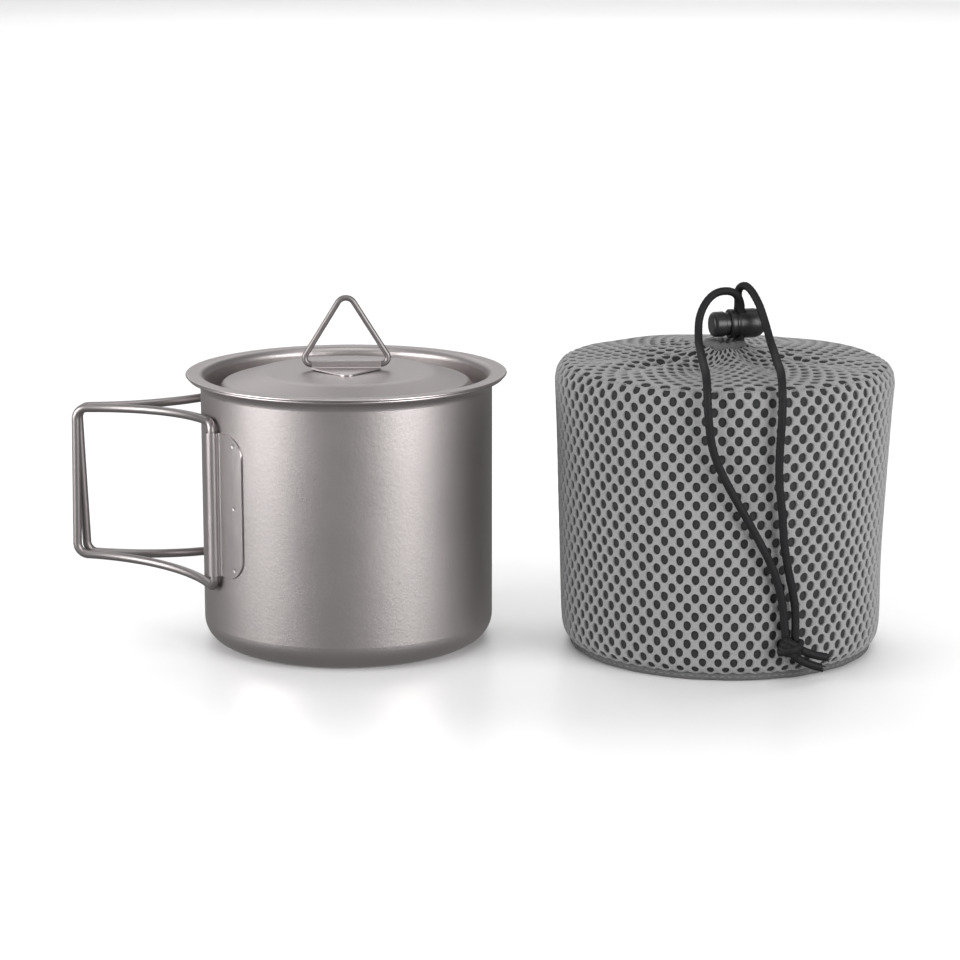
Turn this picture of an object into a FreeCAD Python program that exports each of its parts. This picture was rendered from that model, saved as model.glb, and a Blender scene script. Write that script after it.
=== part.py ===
"""A camping pot set: a titanium pot with a pair of folding wire handles, a recessed lid with a folding
triangular bail, and a spacer-mesh storage bag closed by a drawcord and a spring cord lock.

The frame is in millimetres, +Z up. The origin is the centre of the pot's base, and the handles point to -X.
"""

import math
import os

import FreeCAD
import Part
import Sketcher

# alias, value, what it is
SIZES = [
    ("gauge", 0.5, "thickness of the pot's and the lid's sheet"),
    ("wall_radius", 50.0, "outside radius of the pot's wall"),
    ("base_corner", 8.5, "outside radius of the corner between base and wall"),
    ("flare_foot", 88.4, "height at which the wall starts to flare"),
    ("flare_bend", 3.0, "radius of the flare's concave foot"),
    ("lip_radius", 54.3, "radius at which the pot's lip ends"),
    ("lip_height", 92.45, "height of the pot's lip"),
    ("lip_bead", 0.6, "radius of the bead along the pot's lip"),
    ("flange_radius", 55.0, "outside radius of the lid's flange"),
    ("flange_height", 93.5, "height of the top of the lid's flange"),
    ("plug_radius", 49.0, "outside radius of the lid's plug wall"),
    ("plug_corner", 2.0, "inside radius where the flange turns down"),
    ("gutter_floor", 84.3, "height of the floor of the lid's gutter"),
    ("gutter_bend", 1.4, "radius of the gutter's two bends"),
    ("shoulder_radius", 41.6, "radius at which the lid's cone turns down to the gutter"),
    ("shoulder_height", 90.4, "height of the lid where the cone turns down"),
    ("plateau_radius", 28.0, "radius of the lid's flat middle"),
    ("plateau_height", 93.8, "height of the top of the lid's flat middle"),
    ("lid_turn", 7.8, "degrees that the lid is turned in the pot"),
    ("bracket_gauge", 0.6, "thickness of a handle bracket's sheet"),
    ("hinge_angle", 37.5, "degrees from the -X axis to each handle's hinge"),
    ("sleeve_bore", 1.56, "radius of the hole through a bracket's sleeve"),
    ("wall_gap", 0.05, "gap between a bracket's plate and the wall"),
    ("bracket_foot", 28.2, "height of the bracket's lower edge"),
    ("bracket_length", 49.2, "length of the bracket along its sleeve"),
    ("plate_corner", 7.5, "radius of the plate's free corners"),
    ("root_bend", 1.2, "mean radius of the bend between a bracket's plate and its sleeve"),
    ("weld_radius", 3.0, "radius of the ball that dents a spot weld"),
    ("weld_depth", 0.12, "depth of a spot weld's dent"),
    ("weld_pitch", 21.3, "distance between spot welds"),
    ("handle_wire", 1.5, "radius of the handle's wire"),
    ("leg_foot", 23.8, "height of the lower arm at the hinge"),
    ("leg_top", 80.8, "height of the upper arm at the hinge"),
    ("grip_foot", 27.4, "height of the lower arm at the grip"),
    ("grip_top", 79.2, "height of the upper arm at the grip"),
    ("grip_reach", 94.4, "distance from the pot's axis to the top of a grip"),
    ("front_lean", 0.9, "how much further out the front grip's lower end is"),
    ("rear_lean", -1.9, "how much further out the rear grip's lower end is"),
    ("grip_half_gap", 1.65, "distance from a grip's centreline to the middle plane"),
    ("arm_radius", 54.0, "radius to which the arms are bent"),
    ("hinge_bend", 2.9, "radius of the bends beside the hinge leg"),
    ("grip_bend", 3.9, "radius of the bends beside the grip"),
    ("butt_gap", 0.3, "gap between a wire's two ends in its sleeve"),
    ("bail_wire", 1.0, "radius of the bail's wire"),
    ("bail_rise", 2.0, "height of the bail's axis above the lid"),
    ("bail_corner_reach", 12.05, "distance from the middle to the centre of a corner bend"),
    ("bail_corner", 2.2, "radius of the bail's corner bends"),
    ("bail_apex_rise", 22.9, "height of the apex's centreline above the bail's axis"),
    ("bail_apex", 3.2, "radius of the apex bend"),
    ("channel_half", 11.9, "half the length of the bail bracket's channel"),
    ("channel_play", 0.05, "gap between the bail's wire and its channel"),
    ("wing_reach", 13.5, "distance from the bail's axis to a wing's blunt tip"),
    ("wing_tip", 2.0, "half the width of a wing's blunt tip"),
    ("wing_lift", 0.5, "height of a wing's underside where it leaves the channel"),
    ("wing_play", 0.02, "gap between a wing's tip and the lid"),
    ("saddle_corner", 0.3, "radius inside the channel's two corners"),
    ("bag_x", 129.0, "place of the bag's axis along X"),
    ("bag_y", 4.0, "place of the bag's axis along Y"),
    ("bag_turn", 0.0, "degrees that the bag's front is turned from -Y"),
    ("mesh_gauge", 2.0, "thickness of the spacer mesh"),
    ("base_lift", 0.5, "height of the base panel's underside"),
    ("base_play", 0.1, "gap between the base panel and its binding"),
    ("bag_foot_radius", 54.9, "outside radius of the bag just above its bottom bend"),
    ("bag_top_radius", 58.2, "outside radius of the bag just below its shoulder"),
    ("bag_foot_bend", 7.5, "outside radius of the bag's bottom bend"),
    ("bag_bend_top", 9.5, "height at which the bag's bottom bend meets the wall"),
    ("bag_shoulder", 7.2, "outside radius of the bag's shoulder"),
    ("bag_height", 99.6, "height of the bag's shoulder"),
    ("mouth_height", 103.6, "height of the mesh at the mouth"),
    ("mouth_radius", 8.1, "radius at which the mesh ends at the mouth"),
    ("seam_radius", 50.6, "radius of the binding along the bottom seam"),
    ("binding", 1.5, "radius of the binding's section"),
    ("channel_radius", 5.4, "radius of the cord channel's ring"),
    ("channel_section", 2.3, "outside radius of the cord channel's section"),
    ("channel_height", 103.2, "height of the cord channel's centre"),
    ("cord", 1.4, "radius of the drawcord"),
    ("cord_fit", 0.1, "gap round the cord inside its channel"),
    ("cord_pair", 1.5, "distance from each cord to the middle of the pair"),
    ("lock_turn", 20.0, "degrees that the cord lock's axis is turned from +X"),
    ("lock_height", 110.9, "height of the cord lock's axis"),
    ("lock_radius", 5.0, "outside radius of the lock's barrel"),
    ("lock_length", 13.0, "length of the lock's barrel"),
    ("lock_bore", 4.0, "radius of the barrel's bore"),
    ("lock_depth", 11.6, "depth of the barrel's bore"),
    ("lock_rim", 1.2, "distance from the mouth's axis to the barrel's open end"),
    ("hole_play", 0.08, "gap between the cords and the hole through the barrel"),
    ("slot_play", 0.12, "gap between the cords and the sides of the plunger's slot"),
    ("stem_radius", 3.92, "radius of the plunger's stem"),
    ("stem_length", 10.2, "length of the plunger's stem"),
    ("button_radius", 4.3, "radius of the plunger's button"),
    ("button_length", 4.6, "length of the plunger's button"),
    ("button_gap", 1.6, "gap between button and barrel when the lock is shut"),
    ("press", 1.2, "travel of the plunger"),
    ("spring_wire", 0.2, "radius of the lock spring's wire"),
    ("spring_radius", 2.9, "radius of the lock spring's coil"),
    ("spring_play", 0.05, "gap between the spring and the faces it rests on"),
]

# Degrees of wall that a handle bracket's plate covers, and the place of its spot welds.
PLATE_ANGLE = 16.0
WELD_ANGLE = 11.6
# Where a bracket's rolled sleeve ends, in degrees round the hinge from the outward direction.
SLEEVE_END = 150.0
# Degrees round the hinge at which the sleeve's long arc is divided, so that no piece of it is a half turn.
SLEEVE_STEPS = (-30.0, 70.0)
# Turns of the cord lock's spring, and how many points make one turn.
SPRING_TURNS = 4
SPRING_STEPS = 12
# Length of the straight stub at each end of a handle's arm, in radii of the grip's bends.
STUB_LENGTH = 1.25
# Share of a straight run of cord or spring that each of its two bends may take.
BEND_SHARE = 0.45
# How far a cutting outline reaches past the edges that it cuts.
CUT_OVER = 2.0

# Centrelines of the two free ends of the drawcord, from the cord lock to the knot, in the bag's own frame:
# +X to the right, -Y to the front, +Z up, from the middle of the bag's base.
LEFT_ROUTE = [
    (5.38, 0.36, 116.1), (5.38, 0.36, 118.9), (2.4, -2.6, 122.9), (-4.2, -5.4, 122.4), (-8.6, -8.4, 115.8),
    (-8.8, -13.0, 107.9), (-7.6, -22.5, 104.5), (-6.4, -40.0, 103.4), (-5.5, -53.4, 103.1), (-5.0, -59.9, 99.7),
    (-4.6, -61.7, 91.0), (-3.0, -60.5, 78.6), (1.7, -59.8, 68.4), (7.4, -58.7, 58.4), (12.8, -57.4, 48.6),
    (17.4, -55.8, 39.4), (19.9, -54.5, 31.0), (21.2, -53.7, 23.4), (22.0, -53.5, 14.6),
]
RIGHT_ROUTE = [
    (4.35, 3.18, 116.1), (4.35, 3.18, 119.0), (4.4, 2.5, 123.2), (7.4, -1.2, 124.6), (11.2, -4.6, 119.4),
    (13.6, -7.2, 112.8), (15.4, -12.0, 107.0), (16.8, -22.0, 104.6), (17.8, -38.0, 103.5), (18.6, -50.0, 103.2),
    (19.0, -56.9, 99.7), (19.2, -58.8, 91.0), (18.6, -57.8, 80.0), (18.5, -57.1, 69.0), (19.9, -56.2, 58.4),
    (20.6, -55.5, 48.0), (22.2, -54.4, 38.8), (24.1, -53.1, 30.6), (25.1, -52.4, 23.4), (25.0, -52.7, 14.6),
]
TAIL_ROUTES = [
    [(24.6, -53.4, 9.6), (28.4, -51.9, 6.6), (33.6, -49.6, 4.9)],
    [(27.0, -52.6, 11.6), (31.0, -50.8, 9.2), (35.6, -48.4, 8.1)],
]
KNOT_CENTRE = (23.6, -54.3, 12.6)
KNOT_HALVES = (4.6, 3.1, 3.9)

doc = FreeCAD.newDocument("camping_pot_set")
sheet = doc.addObject("Spreadsheet::Sheet", "Sizes")
for row, (alias, value, meaning) in enumerate(SIZES, start=1):
    sheet.set(f"A{row}", meaning)
    sheet.set(f"B{row}", str(value))
    sheet.setAlias(f"B{row}", alias)
doc.recompute()
parts = []


class Size:
    """A number, together with the spreadsheet expression that gives it."""

    def __init__(self, value, text):
        self.value, self.text = value, text

    def joined(self, sign, other, turned=False):
        other = other if isinstance(other, Size) else Size(float(other), repr(float(other)))
        first, second = (other, self) if turned else (self, other)
        value = {"+": first.value + second.value, "-": first.value - second.value}.get(sign)
        if value is None:
            value = first.value * second.value if sign == "*" else first.value / second.value
        return Size(value, f"({first.text} {sign} {second.text})")

    def __add__(self, other):
        return self.joined("+", other)

    def __radd__(self, other):
        return self.joined("+", other, True)

    def __sub__(self, other):
        return self.joined("-", other)

    def __rsub__(self, other):
        return self.joined("-", other, True)

    def __mul__(self, other):
        return self.joined("*", other)

    def __rmul__(self, other):
        return self.joined("*", other, True)

    def __truediv__(self, other):
        return self.joined("/", other)

    def __neg__(self):
        return self.joined("*", -1.0)


def size(alias):
    """The driving dimension of that name, bound to its cell."""
    return Size(float(sheet.get(alias)), f"Sizes.{alias}")


def number(alias):
    """The driving dimension of that name, as a plain number."""
    return float(sheet.get(alias))


def bind(thing, name, value):
    """Sets a property from a size, and keeps it bound to the spreadsheet."""
    if isinstance(value, Size):
        thing.setExpression(name, value.text)
    else:
        setattr(thing, name, value)


def new_body(label):
    body = doc.addObject("PartDesign::Body", label)
    body.Label = label
    parts.append(body)
    return body


def plane(body, role):
    return next(item for item in body.Origin.OriginFeatures if item.Role == role)


def new_sketch(body, name, role):
    sketch = body.newObject("Sketcher::SketchObject", name)
    sketch.AttachmentSupport = [(plane(body, role), "")]
    sketch.MapMode = "FlatFace"
    return sketch


def hold(sketch, kind, axis, geometry, point, value):
    """Holds one coordinate of a point at a size, or on the axis where the size is nought."""
    if abs(value.value) < 1e-9:
        sketch.addConstraint(Sketcher.Constraint("PointOnObject", geometry, point, axis))
        return
    index = sketch.addConstraint(Sketcher.Constraint(kind, -1, 1, geometry, point, value.value))
    sketch.setExpression(f"Constraints[{index}]", value.text)


def as_size(value):
    return value if isinstance(value, Size) else Size(float(value), repr(float(value)))


def arc_between(start, end, radius, turn):
    """The shorter arc from start to end; turn is 1 anticlockwise and -1 clockwise."""
    (x0, y0), (x1, y1) = start, end
    half = math.hypot(x1 - x0, y1 - y0) / 2
    rise = math.sqrt(max(radius * radius - half * half, 0.0)) * turn
    cx = (x0 + x1) / 2 - (y1 - y0) / (2 * half) * rise
    cy = (y0 + y1) / 2 + (x1 - x0) / (2 * half) * rise
    first, last = math.atan2(y0 - cy, x0 - cx), math.atan2(y1 - cy, x1 - cx)
    if turn < 0:
        first, last = last, first
    circle = Part.Circle(FreeCAD.Vector(cx, cy, 0), FreeCAD.Vector(0, 0, 1), radius)
    return Part.ArcOfCircle(circle, first, last)


def outline(sketch, corners):
    """A closed outline. A corner is (x, y), or (x, y, radius, turn) where an arc leads to the next corner."""
    ends = []
    places = [(as_size(corner[0]), as_size(corner[1])) for corner in corners]
    for index, corner in enumerate(corners):
        (x0, y0), (x1, y1) = places[index], places[(index + 1) % len(places)]
        start, end = (x0.value, y0.value), (x1.value, y1.value)
        if len(corner) == 4:
            radius, turn = as_size(corner[2]), corner[3]
            geometry = sketch.addGeometry(arc_between(start, end, radius.value, turn))
            held = sketch.addConstraint(Sketcher.Constraint("Radius", geometry, radius.value))
            sketch.setExpression(f"Constraints[{held}]", radius.text)
            ends.append((geometry, 1, 2) if turn > 0 else (geometry, 2, 1))
        else:
            line = Part.LineSegment(FreeCAD.Vector(*start, 0), FreeCAD.Vector(*end, 0))
            ends.append((sketch.addGeometry(line), 1, 2))
    for index, (geometry, first, _) in enumerate(ends):
        before, _, last = ends[index - 1]
        sketch.addConstraint(Sketcher.Constraint("Coincident", before, last, geometry, first))
        x, y = places[index]
        hold(sketch, "DistanceX", -2, geometry, first, x)
        hold(sketch, "DistanceY", -1, geometry, first, y)


def turned_body(label, corners, role="XZ_Plane", axis="V_Axis"):
    """A body made by turning an outline about an axis of its sketch."""
    body = new_body(label)
    sketch = new_sketch(body, label + "_outline", role)
    outline(sketch, corners)
    doc.recompute()
    turning = body.newObject("PartDesign::Revolution", label + "_turned")
    turning.Profile = sketch
    turning.ReferenceAxis = (sketch, [axis])
    turning.Angle = 360
    doc.recompute()
    return body


def pad(body, sketch, length, middle=False):
    feature = body.newObject("PartDesign::Pad", sketch.Name + "_pad")
    feature.Profile = sketch
    bind(feature, "Length", length)
    feature.Midplane = middle
    doc.recompute()
    return feature


def pocket_through(body, sketch):
    """Cuts a sketch through everything on both sides of its plane, and checks that it cut."""
    before = body.Shape.Volume
    feature = body.newObject("PartDesign::Pocket", sketch.Name + "_cut")
    feature.Profile = sketch
    feature.Type = 1
    feature.Midplane = True
    doc.recompute()
    if body.Shape.Volume >= before:
        raise RuntimeError(f"{feature.Name} cuts nothing")
    return feature


def place(thing, position=(0, 0, 0), turn=0.0):
    """Puts a sub-part at a position, turned about +Z by degrees; both may be sizes."""
    thing.Placement = FreeCAD.Placement(
        FreeCAD.Vector(*[as_size(c).value for c in position]),
        FreeCAD.Rotation(FreeCAD.Vector(0, 0, 1), as_size(turn).value),
    )
    for letter, coordinate in zip("xyz", position):
        if isinstance(coordinate, Size):
            thing.setExpression(f"Placement.Base.{letter}", coordinate.text)
    if isinstance(turn, Size):
        thing.setExpression("Placement.Rotation.Angle", turn.text)


def new_solid(label, shape, placement=None):
    """A sub-part whose shape comes from Part's own functions."""
    feature = doc.addObject("Part::Feature", label)
    feature.Label = label
    feature.Shape = shape
    if placement is not None:
        feature.Placement = placement.multiply(shape.Placement)
    parts.append(feature)
    return feature


def bag_frame():
    """The placement that carries the bag's own frame to where the bag stands."""
    turn = FreeCAD.Rotation(FreeCAD.Vector(0, 0, 1), number("bag_turn"))
    return FreeCAD.Placement(FreeCAD.Vector(number("bag_x"), number("bag_y"), 0), turn)


def pot_shell():
    """Drawn pot: flat base, rounded corner, straight wall and flared lip with a bead."""
    wall, gauge, corner = size("wall_radius"), size("gauge"), size("base_corner")
    foot, bend = size("flare_foot"), size("flare_bend")
    lip, top, bead = size("lip_radius"), size("lip_height"), size("lip_bead")
    turned_body(
        "pot_shell",
        [
            (0, 0),
            (wall - corner, 0, corner, 1),
            (wall, corner),
            (wall, foot, bend, -1),
            (wall + bend * 0.45, foot + bend * 0.835),
            (lip - bead, top - bead * 1.4, bead * 1.05, 1),
            (lip - bead * 0.9, top + bead * 0.5),
            (wall - gauge + bend * 0.33, foot + bend * 1.02, bend + gauge, 1),
            (wall - gauge, foot),
            (wall - gauge, corner, corner - gauge, -1),
            (wall - corner, gauge),
            (0, gauge),
        ],
    )


def lid_shell():
    """Pressed lid: flange over the pot's lip, plug wall, gutter, cone and flat middle."""
    gauge, flange, top = size("gauge"), size("flange_radius"), size("flange_height")
    plug, corner = size("plug_radius"), size("plug_corner")
    floor, bend = size("gutter_floor"), size("gutter_bend")
    plateau, crown = size("plateau_radius"), size("plateau_height")
    shoulder, height = size("shoulder_radius"), size("shoulder_height")
    inner = plug - gauge
    body = turned_body(
        "lid_shell",
        [
            (0, crown - gauge),
            (plateau, crown - gauge, 11.5, -1),
            (plateau + 3.16, crown - gauge - 0.446),
            (shoulder - gauge * 0.276, height - gauge * 0.961, 1.7, -1),
            (shoulder + 0.944, height - 1.44),
            (inner - bend - 2.64, floor + 0.63, bend + gauge, 1),
            (inner - bend - 0.9, floor - gauge),
            (inner - bend, floor - gauge, bend + gauge, 1),
            (plug, floor + bend),
            (plug, top - gauge - corner, corner, -1),
            (plug + corner, top - gauge),
            (flange - 0.45, top - gauge - 0.12, 0.26, 1),
            (flange, top - 0.42, 0.42, 1),
            (flange - 0.42, top),
            (plug + corner, top, corner + gauge, 1),
            (inner, top - gauge - corner),
            (inner, floor + bend, bend, -1),
            (inner - bend, floor),
            (inner - bend - 0.9, floor, bend, -1),
            (inner - bend - 2.18, floor + 0.83),
            (shoulder + 1.4, height - 1.24, 2.2, 1),
            (shoulder, height),
            (plateau + 3.3, crown - 0.465, 12.0, 1),
            (plateau, crown),
            (0, crown),
        ],
    )
    place(body, (0, 0, 0), size("lid_turn"))


def around(centre_x, radius, degrees):
    """A point on a circle whose centre lies on the X axis, as two sizes."""
    angle = math.radians(degrees)
    return centre_x + radius * math.cos(angle), radius * math.sin(angle)


def bracket(label, side):
    """Stamped bracket: a plate spot-welded to the wall, rolled outwards into a sleeve for the handle's leg.

    It is drawn with its hinge on +X. The front one (side 1) is the same stamping as the rear one (side -1),
    turned over.
    """
    gauge, bore, length = size("bracket_gauge"), size("sleeve_bore"), size("bracket_length")
    inside = size("wall_radius") + size("wall_gap")
    hinge = inside + gauge + bore
    outside, roll = inside + gauge, bore + gauge
    body = new_body(label)
    section = new_sketch(body, label + "_section", "XY_Plane")
    root, axis = size("root_bend"), Size(0.0, "0")
    # The root bend touches the plate's middle line at plate_end, and the sleeve's at sleeve_start.
    wall_arm = inside.value + gauge.value / 2 + root.value
    sleeve_arm = bore.value + gauge.value / 2 + root.value
    root_x = (hinge.value ** 2 + wall_arm ** 2 - sleeve_arm ** 2) / (2 * hinge.value)
    root_y = -math.sqrt(wall_arm ** 2 - root_x ** 2)
    plate_end = math.degrees(math.atan2(root_y, root_x))
    sleeve_start = math.degrees(math.atan2(root_y, root_x - hinge.value))
    sleeve = [sleeve_start, *SLEEVE_STEPS]
    corners = [
        (*around(axis, inside, -PLATE_ANGLE), inside, 1),
        (*around(axis, inside, plate_end), root + gauge / 2, -1),
        *[(*around(hinge, bore, degrees), bore, 1) for degrees in sleeve],
        around(hinge, bore, SLEEVE_END),
        *[(*around(hinge, roll, degrees), roll, -1) for degrees in (SLEEVE_END, *sleeve[:0:-1])],
        (*around(hinge, roll, sleeve_start), root - gauge / 2, 1),
        (*around(axis, outside, plate_end), outside, -1),
        around(axis, outside, -PLATE_ANGLE),
    ]
    outline(section, corners)
    doc.recompute()
    pad(body, section, length)
    corner = size("plate_corner")
    edge = -1.0 * (outside * math.sin(math.radians(PLATE_ANGLE)))
    clear = edge - CUT_OVER
    cut = new_sketch(body, label + "_corners", "YZ_Plane")
    outline(cut, [
        (edge, corner, corner, 1), (edge + corner, 0), (edge + corner, -CUT_OVER), (clear, -CUT_OVER),
        (clear, corner),
    ])
    outline(cut, [
        (edge + corner, length, corner, 1), (edge, length - corner), (clear, length - corner),
        (clear, length + CUT_OVER), (edge + corner, length + CUT_OVER),
    ])
    doc.recompute()
    pocket_through(body, cut)
    dents = outside + size("weld_radius") - size("weld_depth")
    for index in (-1, 0, 1):
        dent = body.newObject("PartDesign::SubtractiveSphere", f"{label}_weld_{index + 2}")
        bind(dent, "Radius", size("weld_radius"))
        x, y = around(Size(0.0, "0"), dents, -WELD_ANGLE)
        bind(dent, "Placement.Base.x", x)
        bind(dent, "Placement.Base.y", y)
        bind(dent, "Placement.Base.z", length / 2 + size("weld_pitch") * index)
        doc.recompute()
    turn = FreeCAD.Rotation(FreeCAD.Vector(0, 0, 1), 180.0 + side * number("hinge_angle"))
    foot = number("bracket_foot")
    if side > 0:
        turn = turn.multiply(FreeCAD.Rotation(FreeCAD.Vector(1, 0, 0), 180.0))
        foot += number("bracket_length")
    body.Placement = FreeCAD.Placement(FreeCAD.Vector(0, 0, foot), turn)


def swept(edges, radius):
    """A round bar of that radius along a chain of edges."""
    path = Part.Wire(edges)
    start = path.OrderedEdges[0]
    first = start.FirstParameter if start.Orientation == "Forward" else start.LastParameter
    heading = start.tangentAt(first)
    if start.Orientation != "Forward":
        heading = -heading
    ring = Part.Wire(Part.makeCircle(radius, start.valueAt(first), heading))
    solid = path.makePipeShell([ring], True, False)
    if solid.Volume < 0:
        solid.reverse()
    return solid


def bend(corner, before, after, radius):
    """The tangent arc that rounds a corner between two directions, as (start, middle, end)."""
    back, on = (before * -1.0).normalize(), FreeCAD.Vector(after).normalize()
    half = back.getAngle(on) / 2
    run = radius / math.tan(half)
    inward = (back + on).normalize()
    centre = corner + inward * (radius / math.sin(half))
    return corner + back * run, centre - inward * radius, corner + on * run


def arm_run(start, end, bow_side, radius, stub):
    """An arm that bows to one side: its first heading, its arc and its last heading.

    A straight stub at each end leaves room for the bend, and the arc between them is tangent to both.
    """
    along = (end - start).normalize()
    sideways = FreeCAD.Vector(-along.y, along.x, 0).normalize()
    if sideways.y * bow_side < 0:
        sideways = sideways * -1.0
    sideways = (sideways - along * sideways.dot(along)).normalize()
    chord = start.distanceToPoint(end)
    lean = math.asin(chord / (2 * math.hypot(radius, stub))) - math.atan2(stub, radius)
    first = along * math.cos(lean) + sideways * math.sin(lean)
    last = along * math.cos(lean) - sideways * math.sin(lean)
    low, high = start + first * stub, end - last * stub
    middle = (low + high) * 0.5 + sideways * (radius * (1 - math.cos(lean)))
    return first, Part.Arc(low, middle, high).toShape(), last


def handle(label, side):
    """One folding handle: a single bent wire whose two ends meet inside the bracket's sleeve."""
    axis = number("wall_radius") + number("wall_gap") + number("sleeve_bore") + number("bracket_gauge")
    angle = math.radians(number("hinge_angle"))
    hinge_x, hinge_y = -axis * math.cos(angle), -side * axis * math.sin(angle)
    lean = number("front_lean" if side > 0 else "rear_lean")
    grip_y = -side * number("grip_half_gap")
    top = FreeCAD.Vector(hinge_x, hinge_y, number("leg_top"))
    foot = FreeCAD.Vector(hinge_x, hinge_y, number("leg_foot"))
    grip_top = FreeCAD.Vector(-number("grip_reach"), grip_y, number("grip_top"))
    grip_foot = FreeCAD.Vector(-number("grip_reach") - lean, grip_y, number("grip_foot"))
    tight, wide, half_gap = number("hinge_bend"), number("grip_bend"), number("butt_gap") / 2
    stub = wide * STUB_LENGTH
    up, down = FreeCAD.Vector(0, 0, 1), FreeCAD.Vector(0, 0, -1)
    grip_way = (grip_foot - grip_top).normalize()
    out_top, upper, in_top = arm_run(top, grip_top, side, number("arm_radius"), stub)
    out_foot, lower, in_foot = arm_run(foot, grip_foot, side, number("arm_radius"), stub)
    corners = [
        bend(top, up, out_top, tight),
        bend(grip_top, in_top, grip_way, wide),
        bend(grip_foot, grip_way, in_foot * -1.0, wide),
        bend(foot, out_foot * -1.0, up, tight),
    ]
    middle = (top + foot) * 0.5

    def line(start, end):
        return Part.LineSegment(start, end).toShape()

    turned = [Part.Arc(*corner).toShape() for corner in corners]
    edges = [
        line(middle + up * half_gap, corners[0][0]),
        turned[0],
        line(corners[0][2], top + out_top * stub),
        upper,
        line(grip_top - in_top * stub, corners[1][0]),
        turned[1],
        line(corners[1][2], corners[2][0]),
        turned[2],
        line(corners[2][2], grip_foot - in_foot * stub),
        lower,
        line(foot + out_foot * stub, corners[3][0]),
        turned[3],
        line(corners[3][2], middle + down * half_gap),
    ]
    new_solid(label, swept(edges, number("handle_wire")))


def lid_bail():
    """Triangular bail of bent wire, standing in the XZ plane, whose ends meet in its channel."""
    reach, corner = size("bail_corner_reach"), size("bail_corner")
    rise, apex = size("bail_apex_rise"), size("bail_apex")
    wire, gap = size("bail_wire"), size("butt_gap")
    body = new_body("lid_bail")
    path = new_sketch(body, "bail_path", "XZ_Plane")
    run, climb = reach.value, rise.value - apex.value - corner.value
    lean = math.atan2(climb, run) - math.asin((apex.value - corner.value) / math.hypot(run, climb))
    normal = math.pi / 2 - lean
    across, along = math.cos(normal), math.sin(normal)
    low, high = (run, corner.value), (0.0, rise.value - apex.value)

    def touch(centre, radius, way):
        return FreeCAD.Vector(way * (centre[0] + radius * across), centre[1] + radius * along, 0)

    def arc(centre, radius, first, last):
        circle = Part.Circle(FreeCAD.Vector(*centre, 0), FreeCAD.Vector(0, 0, 1), radius)
        return path.addGeometry(Part.ArcOfCircle(circle, first, last))

    def line(start, end):
        return path.addGeometry(Part.LineSegment(start, end))

    half_gap = gap.value / 2
    right_leg = line(FreeCAD.Vector(half_gap, 0, 0), FreeCAD.Vector(run, 0, 0))
    right_corner = arc(low, corner.value, -math.pi / 2, normal)
    right_side = line(touch(low, corner.value, 1), touch(high, apex.value, 1))
    top = arc(high, apex.value, normal, math.pi - normal)
    left_side = line(touch(high, apex.value, -1), touch(low, corner.value, -1))
    left_corner = arc((-run, corner.value), corner.value, math.pi - normal, 1.5 * math.pi)
    left_leg = line(FreeCAD.Vector(-run, 0, 0), FreeCAD.Vector(-half_gap, 0, 0))
    chain = [right_leg, right_corner, right_side, top, left_side, left_corner, left_leg]
    for before, after in zip(chain, chain[1:]):
        path.addConstraint(Sketcher.Constraint("Tangent", before, 2, after, 1))
    for geometry, value in ((right_corner, corner), (top, apex), (left_corner, corner)):
        held = path.addConstraint(Sketcher.Constraint("Radius", geometry, value.value))
        path.setExpression(f"Constraints[{held}]", value.text)
    hold(path, "DistanceX", -2, right_corner, 3, reach)
    hold(path, "DistanceX", -2, left_corner, 3, -reach)
    hold(path, "DistanceX", -2, top, 3, Size(0.0, "0"))
    hold(path, "DistanceY", -1, top, 3, rise - apex)
    hold(path, "DistanceY", -1, right_corner, 3, corner)
    hold(path, "DistanceY", -1, left_corner, 3, corner)
    hold(path, "DistanceX", -2, right_leg, 1, gap / 2)
    hold(path, "DistanceX", -2, left_leg, 2, -gap / 2)
    section = new_sketch(body, "bail_section", "YZ_Plane")
    section.AttachmentOffset = FreeCAD.Placement(FreeCAD.Vector(0, 0, half_gap), FreeCAD.Rotation())
    ring = section.addGeometry(
        Part.Circle(FreeCAD.Vector(0, 0, 0), FreeCAD.Vector(0, 0, 1), wire.value)
    )
    section.addConstraint(Sketcher.Constraint("Coincident", ring, 3, -1, 1))
    held = section.addConstraint(Sketcher.Constraint("Radius", ring, wire.value))
    section.setExpression(f"Constraints[{held}]", wire.text)
    doc.recompute()
    pipe = body.newObject("PartDesign::AdditivePipe", "bail_bar")
    pipe.Profile = section
    pipe.Spine = (path, [f"Edge{index + 1}" for index in range(len(chain))])
    doc.recompute()
    place(body, (0, 0, size("plateau_height") + size("bail_rise")), size("lid_turn"))


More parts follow.
